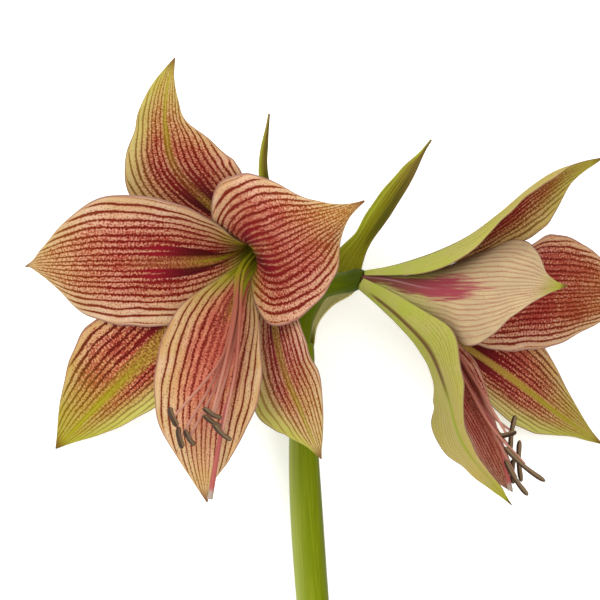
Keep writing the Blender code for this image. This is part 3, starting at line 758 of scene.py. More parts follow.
class TepalShape:
    """A tepal's fine surface: the solid's own rule with furrows, a rib channel and a waved margin."""

    COLUMNS = 72
    ROWS = 112
    # Waves of the margin up and down, and those of its outline, as (beats along the blade, share)
    BEATS = ((3.1, 0.5), (5.3, 0.35), (9.7, 0.15))
    OUTLINE_BEATS = ((4.3, 0.6), (8.9, 0.4))
    # Depth of the outline's waves as a share of the half width
    OUTLINE_WAVE = 0.018
    # Where the waves of each half start, and the factor on it for the outline's waves
    PHASES = (0.74, 0.31)
    OUTLINE_PHASE = 2.3
    # Rows that the calming of the waves is averaged over
    CALM_ROWS = 7
    # Channel over the midrib: its depth, and its half breadth as a share of the blade's
    CHANNEL_DEPTH = 0.35
    CHANNEL_SHARE = 0.06
    # How the furrows crowd toward the margin, and toward the blade's narrow ends
    VEIN_CROWDING = 0.9
    END_CROWDING = 0.4
    # Share of its thickness that a blade loses at the tip
    TIP_THINNING = 0.5
    # How far apart the grain of two tepals lies for a phase of one, so that no two look alike
    GRAIN_APART = 500.0

    def __init__(self, bloom, spec, settings, phase, veins=1.0):
        kind, degrees, rib, widths, outlines, turns, roll = spec
        way = [bloom.rib_point(*p, degrees) for p in ((0.0, ROOT_OUT[kind], 0.0), *rib)]
        self.line = smooth_line(way, self.ROWS + 1)
        self.length = stretches(self.line).sum()
        along = tangents(self.line)
        across = square_to(along, bloom.around(degrees))
        inner = np.cross(along, across)
        share = np.linspace(0.0, 1.0, self.ROWS + 1)
        rolls = np.radians(hermite(TURN_STATIONS, roll, share)[:, 0])
        cosine = np.cos(rolls)[:, None]
        sine = np.sin(rolls)[:, None]
        self.across = across * cosine + inner * sine
        self.inner = inner * cosine - across * sine
        self.widths = []
        self.turns = []
        self.paces = []
        for k, side in enumerate((-1.0, 1.0)):
            profile = (ROOT_WIDTH[kind], *(widths[k] * w for w in (*outlines[k], TIP_SHARE)))
            self.widths.append(hermite(STATIONS, profile, share)[:, 0])
            self.turns.append(np.radians(hermite(TURN_STATIONS, turns[k], share)[:, 0]))
            self.paces.append(self.pace(side * self.widths[k]))
        self.settings = settings
        self.veins = veins * (settings.petal_veins if kind == "petal" else settings.sepal_veins)
        self.phase = phase

    def pace(self, reach):
        """How far apart the rows lie at a margin, against the midrib and at most 1."""
        moved = np.gradient(self.line + reach[:, None] * self.across, axis=0)
        pace = np.linalg.norm(moved, axis=1) * self.ROWS / self.length
        calm = np.full(self.CALM_ROWS, 1.0 / self.CALM_ROWS)
        return np.convolve(np.clip(pace, 0.0, 1.0), calm, mode="same")

    def vein(self, u, row):
        """Count of veins from the midrib out to each point; outer veins run out at the margin."""
        width = own_half(self.widths, u, row)
        widest = np.where(u > 0, self.widths[1].max(), self.widths[0].max())
        narrowing = np.clip(width / widest, 0.02, 1.0) ** self.END_CROWDING
        return self.veins * np.abs(u) ** self.VEIN_CROWDING * narrowing

    def place(self, u, row):
        """Points of the fine surface, with u from -1 to 1 across it."""
        v = row / self.ROWS
        phase = np.where(u > 0, self.PHASES[1], self.PHASES[0]) + self.phase
        free = ease(0.28, 0.5, v) * (1.0 - ease(0.93, 1.0, v)) * own_half(self.paces, u, row)
        swell = self.OUTLINE_WAVE * free * waves(v, phase * self.OUTLINE_PHASE, self.OUTLINE_BEATS)
        width = own_half(self.widths, u, row) * (1.0 + swell)
        reach, lift, angle = bend(u, width, own_half(self.turns, u, row))
        out = np.abs(u)
        wave = self.settings.margin_wave / MM * free * ease(0.5, 1.0, out) * waves(v, phase, self.BEATS)
        flute = self.settings.flute / MM * ease(0.1, 0.3, v) * np.cos(2.0 * np.pi * self.vein(u, row))
        hollow = np.exp(-((u / self.CHANNEL_SHARE) ** 2)) * ease(0.05, 0.2, v) * (1.0 - ease(0.7, 0.95, v))
        rise = wave + flute * (1.0 - ease(0.9, 1.0, out)) - self.CHANNEL_DEPTH * hollow
        lean = np.sign(u) * np.sin(angle)
        across = self.across[row]
        inner = self.inner[row]
        normal = np.cos(angle)[:, None] * inner - lean[:, None] * across
        return self.line[row] + reach[:, None] * across + lift[:, None] * inner + rise[:, None] * normal

    def mesh(self, name):
        """The blade as a mesh with its maps and the weights of its thickness."""
        mesh, u, row = grid_mesh(name, self.COLUMNS, self.ROWS, self.place)
        v = row / self.ROWS
        set_uv(mesh, "blade", (u + 1.0) / 2.0, v)
        set_uv(mesh, "veins", self.vein(u, row), v)
        aside = u * own_half(self.widths, u, row) + self.GRAIN_APART * self.phase
        set_uv(mesh, "grain", aside * GRAIN_UNIT, v * self.length * GRAIN_UNIT)
        thin = 1.0 - ease(0.0, 1.0, np.abs(u)) * (1.0 - self.settings.margin_thickness)
        return mesh, thin * (1.0 - self.TIP_THINNING * ease(0.9, 1.0, v))


def own_half(halves, u, row):
    """Each point's value from the pair of profiles for the two halves of a blade."""
    return np.where(u > 0, halves[1][row], halves[0][row])


class Paint:
    """Short ways to wire one material's nodes, and the colour painted so far."""

    def __init__(self, name, roughness, gloss=0.5):
        self.material = bpy.data.materials.new(name)
        self.material.use_nodes = True
        self.nodes = self.material.node_tree.nodes
        self.links = self.material.node_tree.links
        self.shader = self.nodes["Principled BSDF"]
        self.shader.inputs["Roughness"].default_value = roughness
        self.shader.inputs["Specular IOR Level"].default_value = gloss
        self.painted = None

    def add(self, kind, **choices):
        """A new node of a kind, with its choices set."""
        node = self.nodes.new(f"ShaderNode{kind}")
        for name, value in choices.items():
            setattr(node, name, value)
        return node

    def plug(self, socket, value):
        """Link a socket, or set its value."""
        if isinstance(value, bpy.types.NodeSocket):
            self.links.new(value, socket)
        elif isinstance(value, (tuple, Color)):
            socket.default_value = (*value, 1.0)
        else:
            socket.default_value = value

    def uv(self, name):
        """A UV map."""
        return self.add("UVMap", uv_map=name).outputs["UV"]

    def axes(self, name):
        """The two values of a UV map."""
        node = self.add("SeparateXYZ")
        self.plug(node.inputs[0], self.uv(name))
        return node.outputs[0], node.outputs[1]

    def vector(self, x, y):
        node = self.add("CombineXYZ")
        self.plug(node.inputs[0], x)
        self.plug(node.inputs[1], y)
        return node.outputs[0]

    def math(self, operation, *values):
        node = self.add("Math", operation=operation)
        for k, value in enumerate(values):
            self.plug(node.inputs[k], value)
        return node.outputs[0]

    def times(self, *values):
        """Product of values."""
        return functools.reduce(lambda a, b: self.math("MULTIPLY", a, b), values)

    def most(self, *values):
        """Greatest of values."""
        return functools.reduce(lambda a, b: self.math("MAXIMUM", a, b), values)

    def scaled(self, value, factor, offset):
        """A value times a factor, plus an offset."""
        return self.math("MULTIPLY_ADD", value, factor, offset)

    def step(self, low, high, value):
        """Smooth 0 to 1 from low to high; low may lie above high. Either may be a socket."""
        node = self.add("MapRange", interpolation_type="SMOOTHSTEP")
        for name, number in (("Value", value), ("From Min", low), ("From Max", high)):
            self.plug(node.inputs[name], number)
        return node.outputs["Result"]

    def past(self, level, softness, value):
        """0 to 1 as a value passes a level, softly to either side of it."""
        return self.step(self.math("SUBTRACT", level, softness), self.math("ADD", level, softness), value)

    def ramp(self, value, low, high, start, end):
        """Straight run from start to end as a value goes from low to high."""
        node = self.add("MapRange")
        self.plug(node.inputs["Value"], value)
        for name, number in (("From Min", low), ("From Max", high), ("To Min", start), ("To Max", end)):
            node.inputs[name].default_value = number
        return node.outputs["Result"]

    def noise(self, vector, scale, detail=2.0, roughness=0.5):
        node = self.add("TexNoise", noise_dimensions="2D")
        self.plug(node.inputs["Vector"], vector)
        for name, number in (("Scale", scale), ("Detail", detail), ("Roughness", roughness)):
            node.inputs[name].default_value = number
        return node.outputs["Fac"]

    def streaks(self, across, along, scale, detail=3.0, roughness=0.6):
        """Noise with its own fineness across and along the grain."""
        x, y = self.axes("grain")
        return self.noise(self.vector(self.times(x, across), self.times(y, along)), scale, detail, roughness)

    def mix(self, share, a, b):
        """Colour a turning to b with share."""
        node = self.add("Mix", data_type="RGBA")
        for name, value in (("Factor", share), ("A", a), ("B", b)):
            self.plug(node.inputs[name], value)
        return node.outputs["Result"]

    def lay(self, over, *shares):
        """Paint a colour over what is there, by the product of its shares."""
        self.painted = self.mix(self.times(*shares), self.painted, over)

    def bump(self, height, amount, distance):
        node = self.add("Bump")
        for name, value in (("Strength", amount), ("Distance", distance), ("Height", height)):
            self.plug(node.inputs[name], value)
        self.plug(self.shader.inputs["Normal"], node.outputs["Normal"])

    def finish(self):
        """The material in the colour painted so far."""
        self.plug(self.shader.inputs["Base Color"], self.painted)
        return self.material


class TepalPaint(Paint):
    """Paint for one face of a tepal, with the places on the blade that it is painted by."""

    # How far the veins wander, in veins
    WANDER = 0.8

    def __init__(self, name):
        super().__init__(name, roughness=0.6, gloss=0.05)
        across, self.along = self.axes("blade")
        self.signed = self.scaled(across, 2.0, -1.0)
        self.out = self.math("ABSOLUTE", self.signed)
        self.veins, _ = self.axes("veins")
        self.grain = self.uv("grain")
        self.patch = self.noise(self.grain, 0.8)
        self.vein = self.vein_profile()

    def vein_profile(self):
        """1 on a vein, 0 midway between two veins, with the veins wandering a little."""
        _, lengthwise = self.axes("grain")
        slow = self.noise(self.vector(self.times(self.veins, 0.55), self.times(lengthwise, 0.35)), 1.0)
        swing = self.times(self.math("SUBTRACT", slow, 0.5), self.step(0.3, 1.6, self.veins), self.WANDER)
        moved = self.math("ADD", self.veins, swing)
        return self.times(self.math("PINGPONG", moved, 0.5), 2.0)

    def by_half(self, pair):
        """The first of a pair of values on one half, the second on the other."""
        if pair[0] == pair[1]:
            return pair[0]
        return self.ramp(self.signed, -0.02, 0.02, *pair)


class InnerFace(TepalPaint):
    """Inner face: cream ground, dark red veins, red wash, maroon streaks, green throat and tip."""

    # Tones that no setting holds
    OLIVE = tone("AE9058")
    TAN = tone("A0703C")
    DOTS = tone("5A2018")
    YELLOW_FACE_VEIN = tone("4E0E04")
    TAN_RIB = tone("A87040")
    FRECKLES = tone("6A2016")
    PALE_THROAT_WITH_PAINTED_LIGHT = tone("A89C20")
    GREEN_RIM = tone("AEAC56")
    DRY_TIP = tone("5E2E14")

    def __init__(self, name, settings, look):
        super().__init__(name)
        self.settings = settings
        self.look = look
        self.fine = self.streaks(1.0, 1.4, 8.0, detail=2.0, roughness=0.65)
        self.cover = self.wash_cover()
        self.streak = self.streak_share()
        self.lay_ground()
        self.lay_wash()
        self.line = self.vein_lines()
        self.lay_veins()
        self.lay_midrib()
        self.lay_greens()
        self.lay(self.DRY_TIP, self.step(0.94, 1.0, self.along), 0.8)
        self.lay(settings.margin, self.step(0.965, 0.99, self.out), 0.7)
        self.bump(self.scaled(self.vein, -0.6, self.times(self.fine, 0.4)), 0.3, 0.25 * MM)

    def wash_cover(self):
        """How strong the red wash is at each place."""
        reach = self.by_half(self.look["reach"])
        inside = self.step(self.times(reach, 1.15), self.times(reach, 0.45), self.out)
        begin, end = self.look["fade"]
        cover = self.times(
            inside, self.step(end, begin, self.along), self.step(0.1, 0.28, self.along), self.look["wash"],
        )
        return self.times(cover, self.scaled(self.patch, 0.9, 0.55))

    def streak_share(self):
        """How strong the maroon streaks are at each place."""
        breadth = self.look["streak_width"]
        limit = self.scaled(self.along, 0.6 * breadth, 0.1 * breadth)
        return self.times(
            self.step(limit, self.times(limit, 0.5), self.out), self.step(0.03, 0.08, self.out),
            self.step(0.08, 0.18, self.along), self.step(0.64, 0.34, self.along), self.look["streak"],
        )

    def lay_ground(self):
        """Cream to straw, with pale and olive patches, and darker beside the veins."""
        self.painted = self.mix(self.look["yellow"], self.settings.cream, self.settings.straw)
        self.lay(self.settings.cream_pale, self.step(0.35, 0.7, self.patch), 0.5)
        tint = self.noise(self.grain, 0.45, detail=1.0)
        toward_throat = self.times(self.step(0.2, 0.7, self.out), self.step(0.6, 0.3, self.along), 0.6)
        self.lay(self.OLIVE, self.most(toward_throat, self.times(self.step(0.45, 0.7, tint), 0.45)))
        self.lay(self.TAN, self.vein, self.scaled(self.cover, -0.8, 1.0), 0.5)

    def lay_wash(self):
        """Pink between the veins with darker specks in it, and dark dots all over."""
        soft = self.look["soft"]
        combed = self.look["combed"]
        self.lay(self.settings.pink, self.cover, self.scaled(self.vein, 0.5 - 0.3 * soft, 0.35 + 0.4 * soft))
        lengthwise = self.times(self.streaks(9.0, 0.9, 1.0), combed)
        ticks = self.math("ADD", self.times(self.fine, 1.0 - combed), lengthwise)
        ticked = self.past(self.scaled(self.cover, -self.look["specks"], 0.68), 0.05, ticks)
        self.lay(self.settings.red, ticked, self.step(0.08, 0.2, self.along), 0.85 - 0.5 * soft)
        dots = self.step(0.63, 0.68, self.noise(self.grain, 13.0, detail=1.0))
        self.lay(self.DOTS, dots, self.step(0.15, 0.35, self.along), self.step(1.0, 0.85, self.out), 0.7)

    def vein_lines(self):
        """1 on the painted veins, which are ragged in the wash and run together in the streaks."""
        rough = self.math("SUBTRACT", self.step(0.3, 0.7, self.fine), 0.5)
        field = self.math("ADD", self.vein, self.times(rough, self.scaled(self.cover, 0.4, 0.12)))
        root = self.step(0.11, 0.04, self.along)
        bare = self.math("ADD", root, self.times(self.step(0.88, 1.0, self.out), 0.4))
        limit = self.scaled(self.cover, -0.1, self.look["line"])
        return self.past(self.math("ADD", self.scaled(self.streak, -1.3, limit), bare), 0.12, field)

    def lay_veins(self):
        """Veins and streaks in dark red, crimson and maroon."""
        hue = self.mix(self.look["yellow"], self.settings.vein, self.YELLOW_FACE_VEIN)
        outer = self.times(self.step(0.0, 0.4, self.streak), self.look["crimson"])
        hue = self.mix(outer, hue, self.settings.crimson)
        dark = self.times(self.step(0.0, 0.5, self.streak), self.step(0.56, 0.36, self.along))
        self.lay(self.mix(dark, hue, self.settings.maroon), self.line, 0.96)

    def lay_midrib(self):
        """Midrib in its own colour with dark freckles, and a sepal's green stripe toward the tip."""
        kind = self.look["rib"]
        band = self.look["band"]
        end = self.look["rib_end"]
        pale = {"pink": self.settings.pink, "speckled": self.settings.gold, "tan": self.TAN_RIB}[kind]
        freckles = self.times(self.step(0.44, 0.56, self.fine), self.look["freckles"])
        narrow = self.times(self.step(band, 0.6 * band, self.veins), self.step(end, 0.5 * end, self.along))
        self.lay(self.mix(freckles, pale, self.FRECKLES), narrow, 0.5 if kind == "pink" else 0.85)
        if kind == "speckled":
            stripe = self.times(self.step(0.16, 0.0, self.out), self.step(0.45, 0.8, self.along))
            self.lay(self.settings.tip, stripe, self.look["tip"], 0.9)

    def lay_greens(self):
        """Green throat, margins and tip, with the veins showing through; the throat's own green is
        brightened with painted light against the shade deep in it.
        """
        # Throat greens: partly their own colour and partly painted light against the shade in the throat
        green = self.mix(self.step(0.4, 0.7, self.patch), self.settings.throat, self.PALE_THROAT_WITH_PAINTED_LIGHT)
        sides = self.times(self.step(0.35, 0.85, self.out), self.step(0.4, 0.2, self.along))
        middle = self.times(self.step(0.17, 0.1, self.out), self.step(0.45, 0.25, self.along))
        throat = self.most(sides, middle, self.step(0.3, 0.12, self.along))
        self.lay(green, throat, self.scaled(self.streak, -0.8, 1.0), self.scaled(self.line, -0.45, 0.95))
        off_veins = self.scaled(self.line, -0.5, 1.0)
        for side, amount in zip((-1.0, 1.0), self.look["rims"]):
            if amount:
                rim = self.step(0.3, 0.9, self.times(self.signed, side))
                self.lay(self.GREEN_RIM, rim, self.step(0.3, 0.7, self.along), amount, off_veins)
        self.lay(self.settings.tip, self.step(0.62, 1.0, self.along), self.look["tip"], off_veins)


class OuterFace(TepalPaint):
    """Outer face: petals cream with a pink flush, sepals yellow green with a maroon to green midrib."""

    # Setting of the ground, tones of its patches and its veins, and the strength of the veins
    PETAL = ("back", tone("BEA67C"), tone("92604C"), 0.9)
    SEPAL = ("back_sepal", tone("A89A62"), tone("74602C"), 0.55)
    # Tones that no setting holds
    DOTS = tone("6E4A2A")
    GREEN_TIP = tone("868C10")
    DRY_TIP = tone("4E2E14")
    DEEP_FLUSH = tone("5A1C28")
    PALE_LINE = tone("B08890")
    MAROON_RIB = tone("4C1A1C")
    GREEN_RIB = tone("828E14")

    def __init__(self, name, settings, kind):
        super().__init__(name)
        self.settings = settings
        petal = kind == "petal"
        ground, patches, veins, vein_share = self.PETAL if petal else self.SEPAL
        self.frayed = self.streaks(7.0, 0.5, 1.0)
        self.painted = getattr(settings, ground)
        self.lay(settings.back_green, self.petal_green() if petal else self.sepal_green())
        self.lay(patches, self.step(0.35, 0.75, self.patch), 0.45)
        line = self.times(self.step(0.45, 0.95, self.vein), self.step(0.2, 0.42, self.along))
        line = self.times(line, self.step(1.0, 0.8, self.out), self.scaled(self.frayed, 0.9, 0.25))
        self.lay(veins, line, vein_share)
        dots = self.step(0.7, 0.76, self.noise(self.grain, 9.0, detail=1.0))
        self.lay(self.DOTS, dots, self.step(0.1, 0.3, self.along), 0.5)
        if petal:
            self.lay_flush()
        else:
            self.lay_rib()
        self.lay(self.GREEN_TIP, self.step(0.82, 1.0, self.along), 0.9)
        self.lay(self.DRY_TIP, self.step(0.96, 0.99, self.along), 0.8)
        self.lay(settings.margin, self.step(0.965, 0.99, self.out), 0.7)
        fine = self.noise(self.grain, 12.0, detail=3.0)
        self.bump(self.scaled(self.vein, 0.6, self.times(fine, 0.4)), 0.3, 0.25 * MM)

    def petal_green(self):
        """Green near a petal's base, which reaches further along its margins."""
        sides = self.times(self.step(0.5, 1.0, self.out), self.step(0.5, 0.25, self.along))
        return self.most(self.times(self.step(0.5, 0.1, self.along), 0.9), sides)

    def sepal_green(self):
        """Green of a sepal, which fades toward its tip."""
        return self.times(self.step(0.95, 0.1, self.along), 0.9)

    def lay_flush(self):
        """Pink flush that follows the midrib and frays into streaks."""
        breadth = self.ramp(self.along, 0.1, 0.62, 0.85, 0.12)
        inside = self.step(breadth, self.times(breadth, 0.2), self.out)
        inside = self.times(inside, self.step(0.78, 0.3, self.along))
        flush = self.step(0.12, 0.8, self.scaled(self.math("SUBTRACT", self.frayed, 0.5), 1.6, inside))
        hue = self.mix(self.step(0.36, 0.12, self.along), self.settings.flush, self.DEEP_FLUSH)
        self.lay(hue, flush, 0.92)
        self.lay(self.PALE_LINE, self.step(0.06, 0.0, self.out), self.step(0.4, 0.2, self.along), 0.4)

    def lay_rib(self):
        """Maroon midrib that turns green toward the tip."""
        rib = self.times(self.step(0.2, 0.03, self.out), self.step(0.03, 0.1, self.along))
        hue = self.mix(self.step(0.46, 0.6, self.along), self.MAROON_RIB, self.GREEN_RIB)
        self.lay(hue, rib, self.step(0.97, 0.75, self.along), 0.8)


class AMARYLLIS_OT_tepals(bpy.types.Operator):
    """Make the veined sepals and petals of both blooms"""
    bl_idname = "amaryllis.tepals"
    bl_label = "Tepals"

    # How far apart the waves and grain of one tepal and the next are
    PHASE_STEP = 0.137

    def execute(self, context):
        settings = context.scene.amaryllis_tepals
        count = 0
        for which, tepals in TEPALS.items():
            bloom = Bloom(which)
            for name, spec in tepals.items():
                count += 1
                node = f"{which}_{name}"
                kind = spec[0]
                look = {**PLAIN_LOOK, **LOOKS[node]}
                shape = TepalShape(bloom, spec, settings, self.PHASE_STEP * count, look["veins"])
                mesh, weights = shape.mesh(f"{node}_blade")
                outer = OuterFace(f"{node}_outer", settings, kind).finish()
                inner = InnerFace(f"{node}_inner", settings, look).finish()
                piece = add_piece(mesh, node, [outer, inner])
                thicken(piece, settings.rib_thickness, weights, back_material=1)
                check_place(piece, node)
        return {"FINISHED"}


def tube(name, line, radii, sides, bulge=None):
    """A closed tube along a line, with maps round and along it; bulge(angle, row) shapes its section."""
    rows = len(line) - 1
    along = tangents(line)
    first = unit(np.cross(along[0], ODD_WAY))
    across = []
    for direction in along:
        first = unit(first - (first @ direction) * direction)
        across.append(first)
    across = np.array(across)
    other = np.cross(along, across)

    def place(u, row):
        angle = np.pi * (u + 1.0)
        radius = radii[row] * (1.0 if bulge is None else bulge(angle, row))
        spoke = np.cos(angle)[:, None] * across[row] + np.sin(angle)[:, None] * other[row]
        return line[row] + radius[:, None] * spoke

    mesh, u, row = grid_mesh(name, sides, rows, place)
    set_uv(mesh, "round", (u + 1.0) / 2.0, row / rows)
    girth = 2.0 * np.pi * float(np.mean(radii))
    lengthwise = row / rows * stretches(line).sum()
    set_uv(mesh, "grain", u * girth / 2.0 * GRAIN_UNIT, lengthwise * GRAIN_UNIT)
    close_tube(mesh)
    return mesh


def cap(shape):
    """Fill the open rims of a shape."""
    bmesh.ops.holes_fill(shape, edges=[e for e in shape.edges if e.is_boundary], sides=0)


def close_tube(mesh):
    """Weld the seam of a rolled grid, cap its ends and turn its faces outward."""
    shape = bmesh.new()
    shape.from_mesh(mesh)
    bmesh.ops.remove_doubles(shape, verts=shape.verts[:], dist=WELD)
    cap(shape)
    bmesh.ops.recalc_face_normals(shape, faces=shape.faces[:])
    write_mesh(shape, mesh)


def merge_meshes(name, meshes):
    """Several closed meshes as one mesh."""
    shape = bmesh.new()
    for mesh in meshes:
        shape.from_mesh(mesh)
        bpy.data.meshes.remove(mesh)
    return write_mesh(shape, bpy.data.meshes.new(name))


# Tones of the green parts and the anthers that no setting holds, painted light and painted shade among them
STALK_PAINTED_LIGHT = tone("A0A65C")
STALK_PAINTED_SHADE = tone("525600")
PEDICEL_STREAK = tone("5C6A08")
PEDICEL_ROOT = tone("5C6202")
OVARY_DARK = tone("2C3808")
VALVE_STREAK = tone("827E12")
VALVE_PAINTED_SHADE = tone("403C04")
VALVE_PAINTED_LIGHT = tone("9CA02C")
VALVE_PALE_AND_PAINTED_LIGHT = tone("D6CA84")
POLLEN = tone("7A6648")


def stalk_finish(settings):
    """Smooth green stalk with long streaks, with painted light down one side and painted shade down the
    other.
    """
    p = Paint("stalk_skin", roughness=0.42, gloss=0.04)
    turn, _ = p.axes("round")
    side = p.math("ABSOLUTE", p.math("SUBTRACT", turn, 0.5))
    streaks = p.streaks(5.0, 0.12, 2.2, detail=4.0)
    soft = p.noise(p.uv("grain"), 0.35, detail=1.0)
    p.painted = settings.stalk
    p.lay(settings.stalk_pale, p.step(0.4, 0.75, streaks), 0.6)
    p.lay(settings.stalk_deep, p.step(0.5, 0.25, streaks), 0.5)
    p.lay(settings.stalk_deep, p.step(0.35, 0.7, soft), 0.3)
    # Painted light down one side of the stalk and painted shade down the other
    p.lay(STALK_PAINTED_LIGHT, p.step(0.3, 0.5, side), 0.55)
    p.lay(STALK_PAINTED_SHADE, p.step(0.26, 0.04, side), 0.6)
    p.bump(streaks, 0.15, 0.2 * MM)
    return p.finish()


def pedicel_finish(settings):
    """Deeper green pedicel, darker toward its end where the bloom sits on the ovary."""
    p = Paint("pedicel_skin", roughness=0.45, gloss=0.05)
    _, along = p.axes("round")
    streaks = p.streaks(4.0, 0.3, 3.0, roughness=0.5)
    p.painted = settings.pedicel
    p.lay(PEDICEL_STREAK, p.step(0.4, 0.75, streaks), 0.4)
    p.lay(PEDICEL_ROOT, p.step(0.35, 0.0, along), 0.6)
    p.lay(OVARY_DARK, p.step(0.7, 0.98, along), 0.7)
    p.bump(streaks, 0.12, 0.2 * MM)
    return p.finish()


def valve_finish(settings):
    """Spathe valve: olive green with long streaks, painted shade on one half and painted light on the other,
    a pale middle band that is its own pale colour brightened with painted light, dry and brown at its tip
    and margins.
    """
    p = Paint("spathe_skin", roughness=0.5, gloss=0.08)
    across, along = p.axes("blade")
    out = p.math("ABSOLUTE", p.scaled(across, 2.0, -1.0))
    streaks = p.streaks(5.0, 0.2, 3.0)
    p.painted = settings.valve
    p.lay(VALVE_STREAK, p.step(0.3, 0.7, streaks), 0.5)
    # Painted shade on one half of the valve and painted light on the other
    p.lay(VALVE_PAINTED_SHADE, p.step(0.6, 0.3, across), p.step(0.4, 0.6, along), 0.8)
    p.lay(VALVE_PAINTED_LIGHT, p.step(0.66, 0.85, across), p.step(0.3, 0.6, along), 0.8)
    # Pale middle band near the root: its own pale colour, brightened with painted light against the shade of
    # the hollow face
    pale = p.times(p.step(0.6, 0.48, across), p.step(0.02, 0.1, along))
    p.lay(VALVE_PALE_AND_PAINTED_LIGHT, pale, p.step(0.36, 0.28, along), 0.95)
    dry = p.most(p.times(p.step(0.6, 1.0, along), 0.7), p.times(p.step(0.9, 1.0, out), 0.3))
    p.lay(settings.valve_dry, dry, p.step(0.25, 0.6, streaks))
    p.bump(streaks, 0.4, 0.25 * MM)
    return p.finish()


class AMARYLLIS_OT_stalk(bpy.types.Operator):
    """Make the stalk that carries the umbel"""
    bl_idname = "amaryllis.stalk"
    bl_label = "Stalk"

    STEPS = 150
    SIDES = 72
    # The top's rounding: how far down it reaches, and the share of the radius that it takes off
    TOP_ROUND = (5.0, 0.55)
    # Ribs and broad ridges round the stalk, and how high the ridges are against the ribs
    RIBS = 18
    RIDGES = 7.0
    RIDGE_SHARE = 0.6

    def execute(self, context):
        settings = context.scene.amaryllis_greens
        line = smooth_line(SCAPE_LINE, self.STEPS + 1)
        upward = spread(SCAPE_RADII, self.STEPS + 1)[::-1]
        radii = rounded_end(upward, line[::-1], *self.TOP_ROUND)[::-1]
        depth = settings.rib_depth / MM

        def ribs(angle, row):
            ridges = self.RIDGE_SHARE * np.cos(self.RIDGES * angle + 1.0)
            return 1.0 + depth / radii[row] * (np.cos(self.RIBS * angle) + ridges)

        mesh = tube("scape_skin", line, radii, self.SIDES, ribs)
        self.rest_on_table(mesh)
        piece = add_piece(mesh, "scape", [stalk_finish(settings)], CREASE)
        check_place(piece, "scape")
        return {"FINISHED"}

    def rest_on_table(self, mesh):
        """Cut the heel flat where it would reach through the table."""
        shape = bmesh.new()
        shape.from_mesh(mesh)
        everything = shape.verts[:] + shape.edges[:] + shape.faces[:]
        bmesh.ops.bisect_plane(
            shape, geom=everything, dist=WELD, plane_co=(0, 0, 0), plane_no=(0, 0, -1), clear_outer=True,
        )
        cap(shape)
        write_mesh(shape, mesh)


class AMARYLLIS_OT_pedicels(bpy.types.Operator):
    """Make the pedicels with their three-lobed ovaries"""
    bl_idname = "amaryllis.pedicels"
    bl_label = "Pedicels and ovaries"

    STEPS = 110
    SIDES = 48
    # The last way points lie on the bloom's axis, this far below the end
    STRAIGHT = (2.5, 0.0)
    # The end's rounding: how far back it reaches, and the share of the radius that it takes off
    END_ROUND = (1.6, 0.12)

    def execute(self, context):
        settings = context.scene.amaryllis_greens
        skin = pedicel_finish(settings)
        lobes = OVARY_LOBE * spread(OVARY_LOBES, self.STEPS + 1)
        for which, plan in BLOOMS.items():
            bloom = Bloom(which)
            ends = [bloom.point(-OVARY_GAP - back, 0.0, 0.0) for back in self.STRAIGHT]
            line = smooth_line([*plan["pedicel"], *ends], self.STEPS + 1)
            radii = rounded_end(spread(PEDICEL_RADII, self.STEPS + 1), line, *self.END_ROUND)
            node = f"{which}_pedicel_ovary"
            mesh = tube(
                f"{node}_skin", line, radii, self.SIDES,
                lambda angle, row: 1.0 + lobes[row] * np.cos(3.0 * angle),
            )
            piece = add_piece(mesh, node, [skin], CREASE)
            check_place(piece, node)
        return {"FINISHED"}


class AMARYLLIS_OT_spathe(bpy.types.Operator):
    """Make the two withered valves behind the umbel"""
    bl_idname = "amaryllis.spathe"
    bl_label = "Spathe valves"

    COLUMNS = 36
    ROWS = 90
    # Turn of a half along the valve in degrees, and how much and from where the tip narrows
    TURNS = (35.0, 60.0, 25.0)
    TIP_NARROWING = 0.85
    TIP_FROM = 0.84
    # Lengthwise crimps and the waved margin: their heights, and the waves as (beats, share)
    CRIMP = 0.25
    CRIMPS = 3.5
    MARGIN_WAVE = 0.4
    MARGIN_BEATS = ((4.1, 0.6), (7.7, 0.4))
    MARGIN_PHASE = 0.3
    # Length that the streaks are spread over
    STREAK_LENGTH = 118.0

    def execute(self, context):
        settings = context.scene.amaryllis_greens
        skin = valve_finish(settings)
        for node, spec in VALVES.items():
            piece = add_piece(self.valve(f"{node}_skin", spec), node, [skin])
            thicken(piece, settings.valve_thickness)
            check_place(piece, node)
        return {"FINISHED"}

    def valve(self, name, spec):
        """One valve as a crimped blade."""
        line = smooth_line(spec["line"], self.ROWS + 1)
        faces = unit(spec["faces"])
        along = tangents(line)
        across = square_to(along, unit(np.cross(faces, line[-1] - line[0])))
        inner = np.cross(along, across)
        inner *= np.sign(inner @ faces)[:, None]
        share = np.linspace(0.0, 1.0, self.ROWS + 1)
        narrowing = 1.0 - self.TIP_NARROWING * ease(self.TIP_FROM, 1.0, share)
        widths = [spread(half, self.ROWS + 1) * narrowing for half in spec["widths"]]
        turn = np.radians(spread(self.TURNS, self.ROWS + 1))

        def place(u, row):
            v = row / self.ROWS
            out = np.abs(u)
            reach, lift, _ = bend(u, own_half(widths, u, row), turn[row])
            crimp = np.sin(2.0 * np.pi * (self.CRIMPS * out + 0.4 * np.sin(5.0 * v)))
            wave = ease(0.6, 1.0, out) * waves(v, self.MARGIN_PHASE, self.MARGIN_BEATS)
            rise = lift + self.CRIMP * ease(0.1, 0.3, v) * crimp + self.MARGIN_WAVE * wave
            return line[row] + reach[:, None] * across[row] + rise[:, None] * inner[row]

        mesh, u, row = grid_mesh(name, self.COLUMNS, self.ROWS, place)
        v = row / self.ROWS
        set_uv(mesh, "blade", (u + 1.0) / 2.0, v)
        set_uv(mesh, "grain", u * widths[0][row] * GRAIN_UNIT, v * self.STREAK_LENGTH * GRAIN_UNIT)
        return mesh


def thread_finish(name, shades, turns):
    """Filament or style: its colours from root to end, and where along it each turns to the next."""
    p = Paint(name, roughness=0.5, gloss=0.3)
    _, along = p.axes("round")
    p.painted = shades[0]
    for shade, (low, high) in zip(shades[1:], turns):
        p.lay(shade, p.step(low, high, along))
    return p.finish()


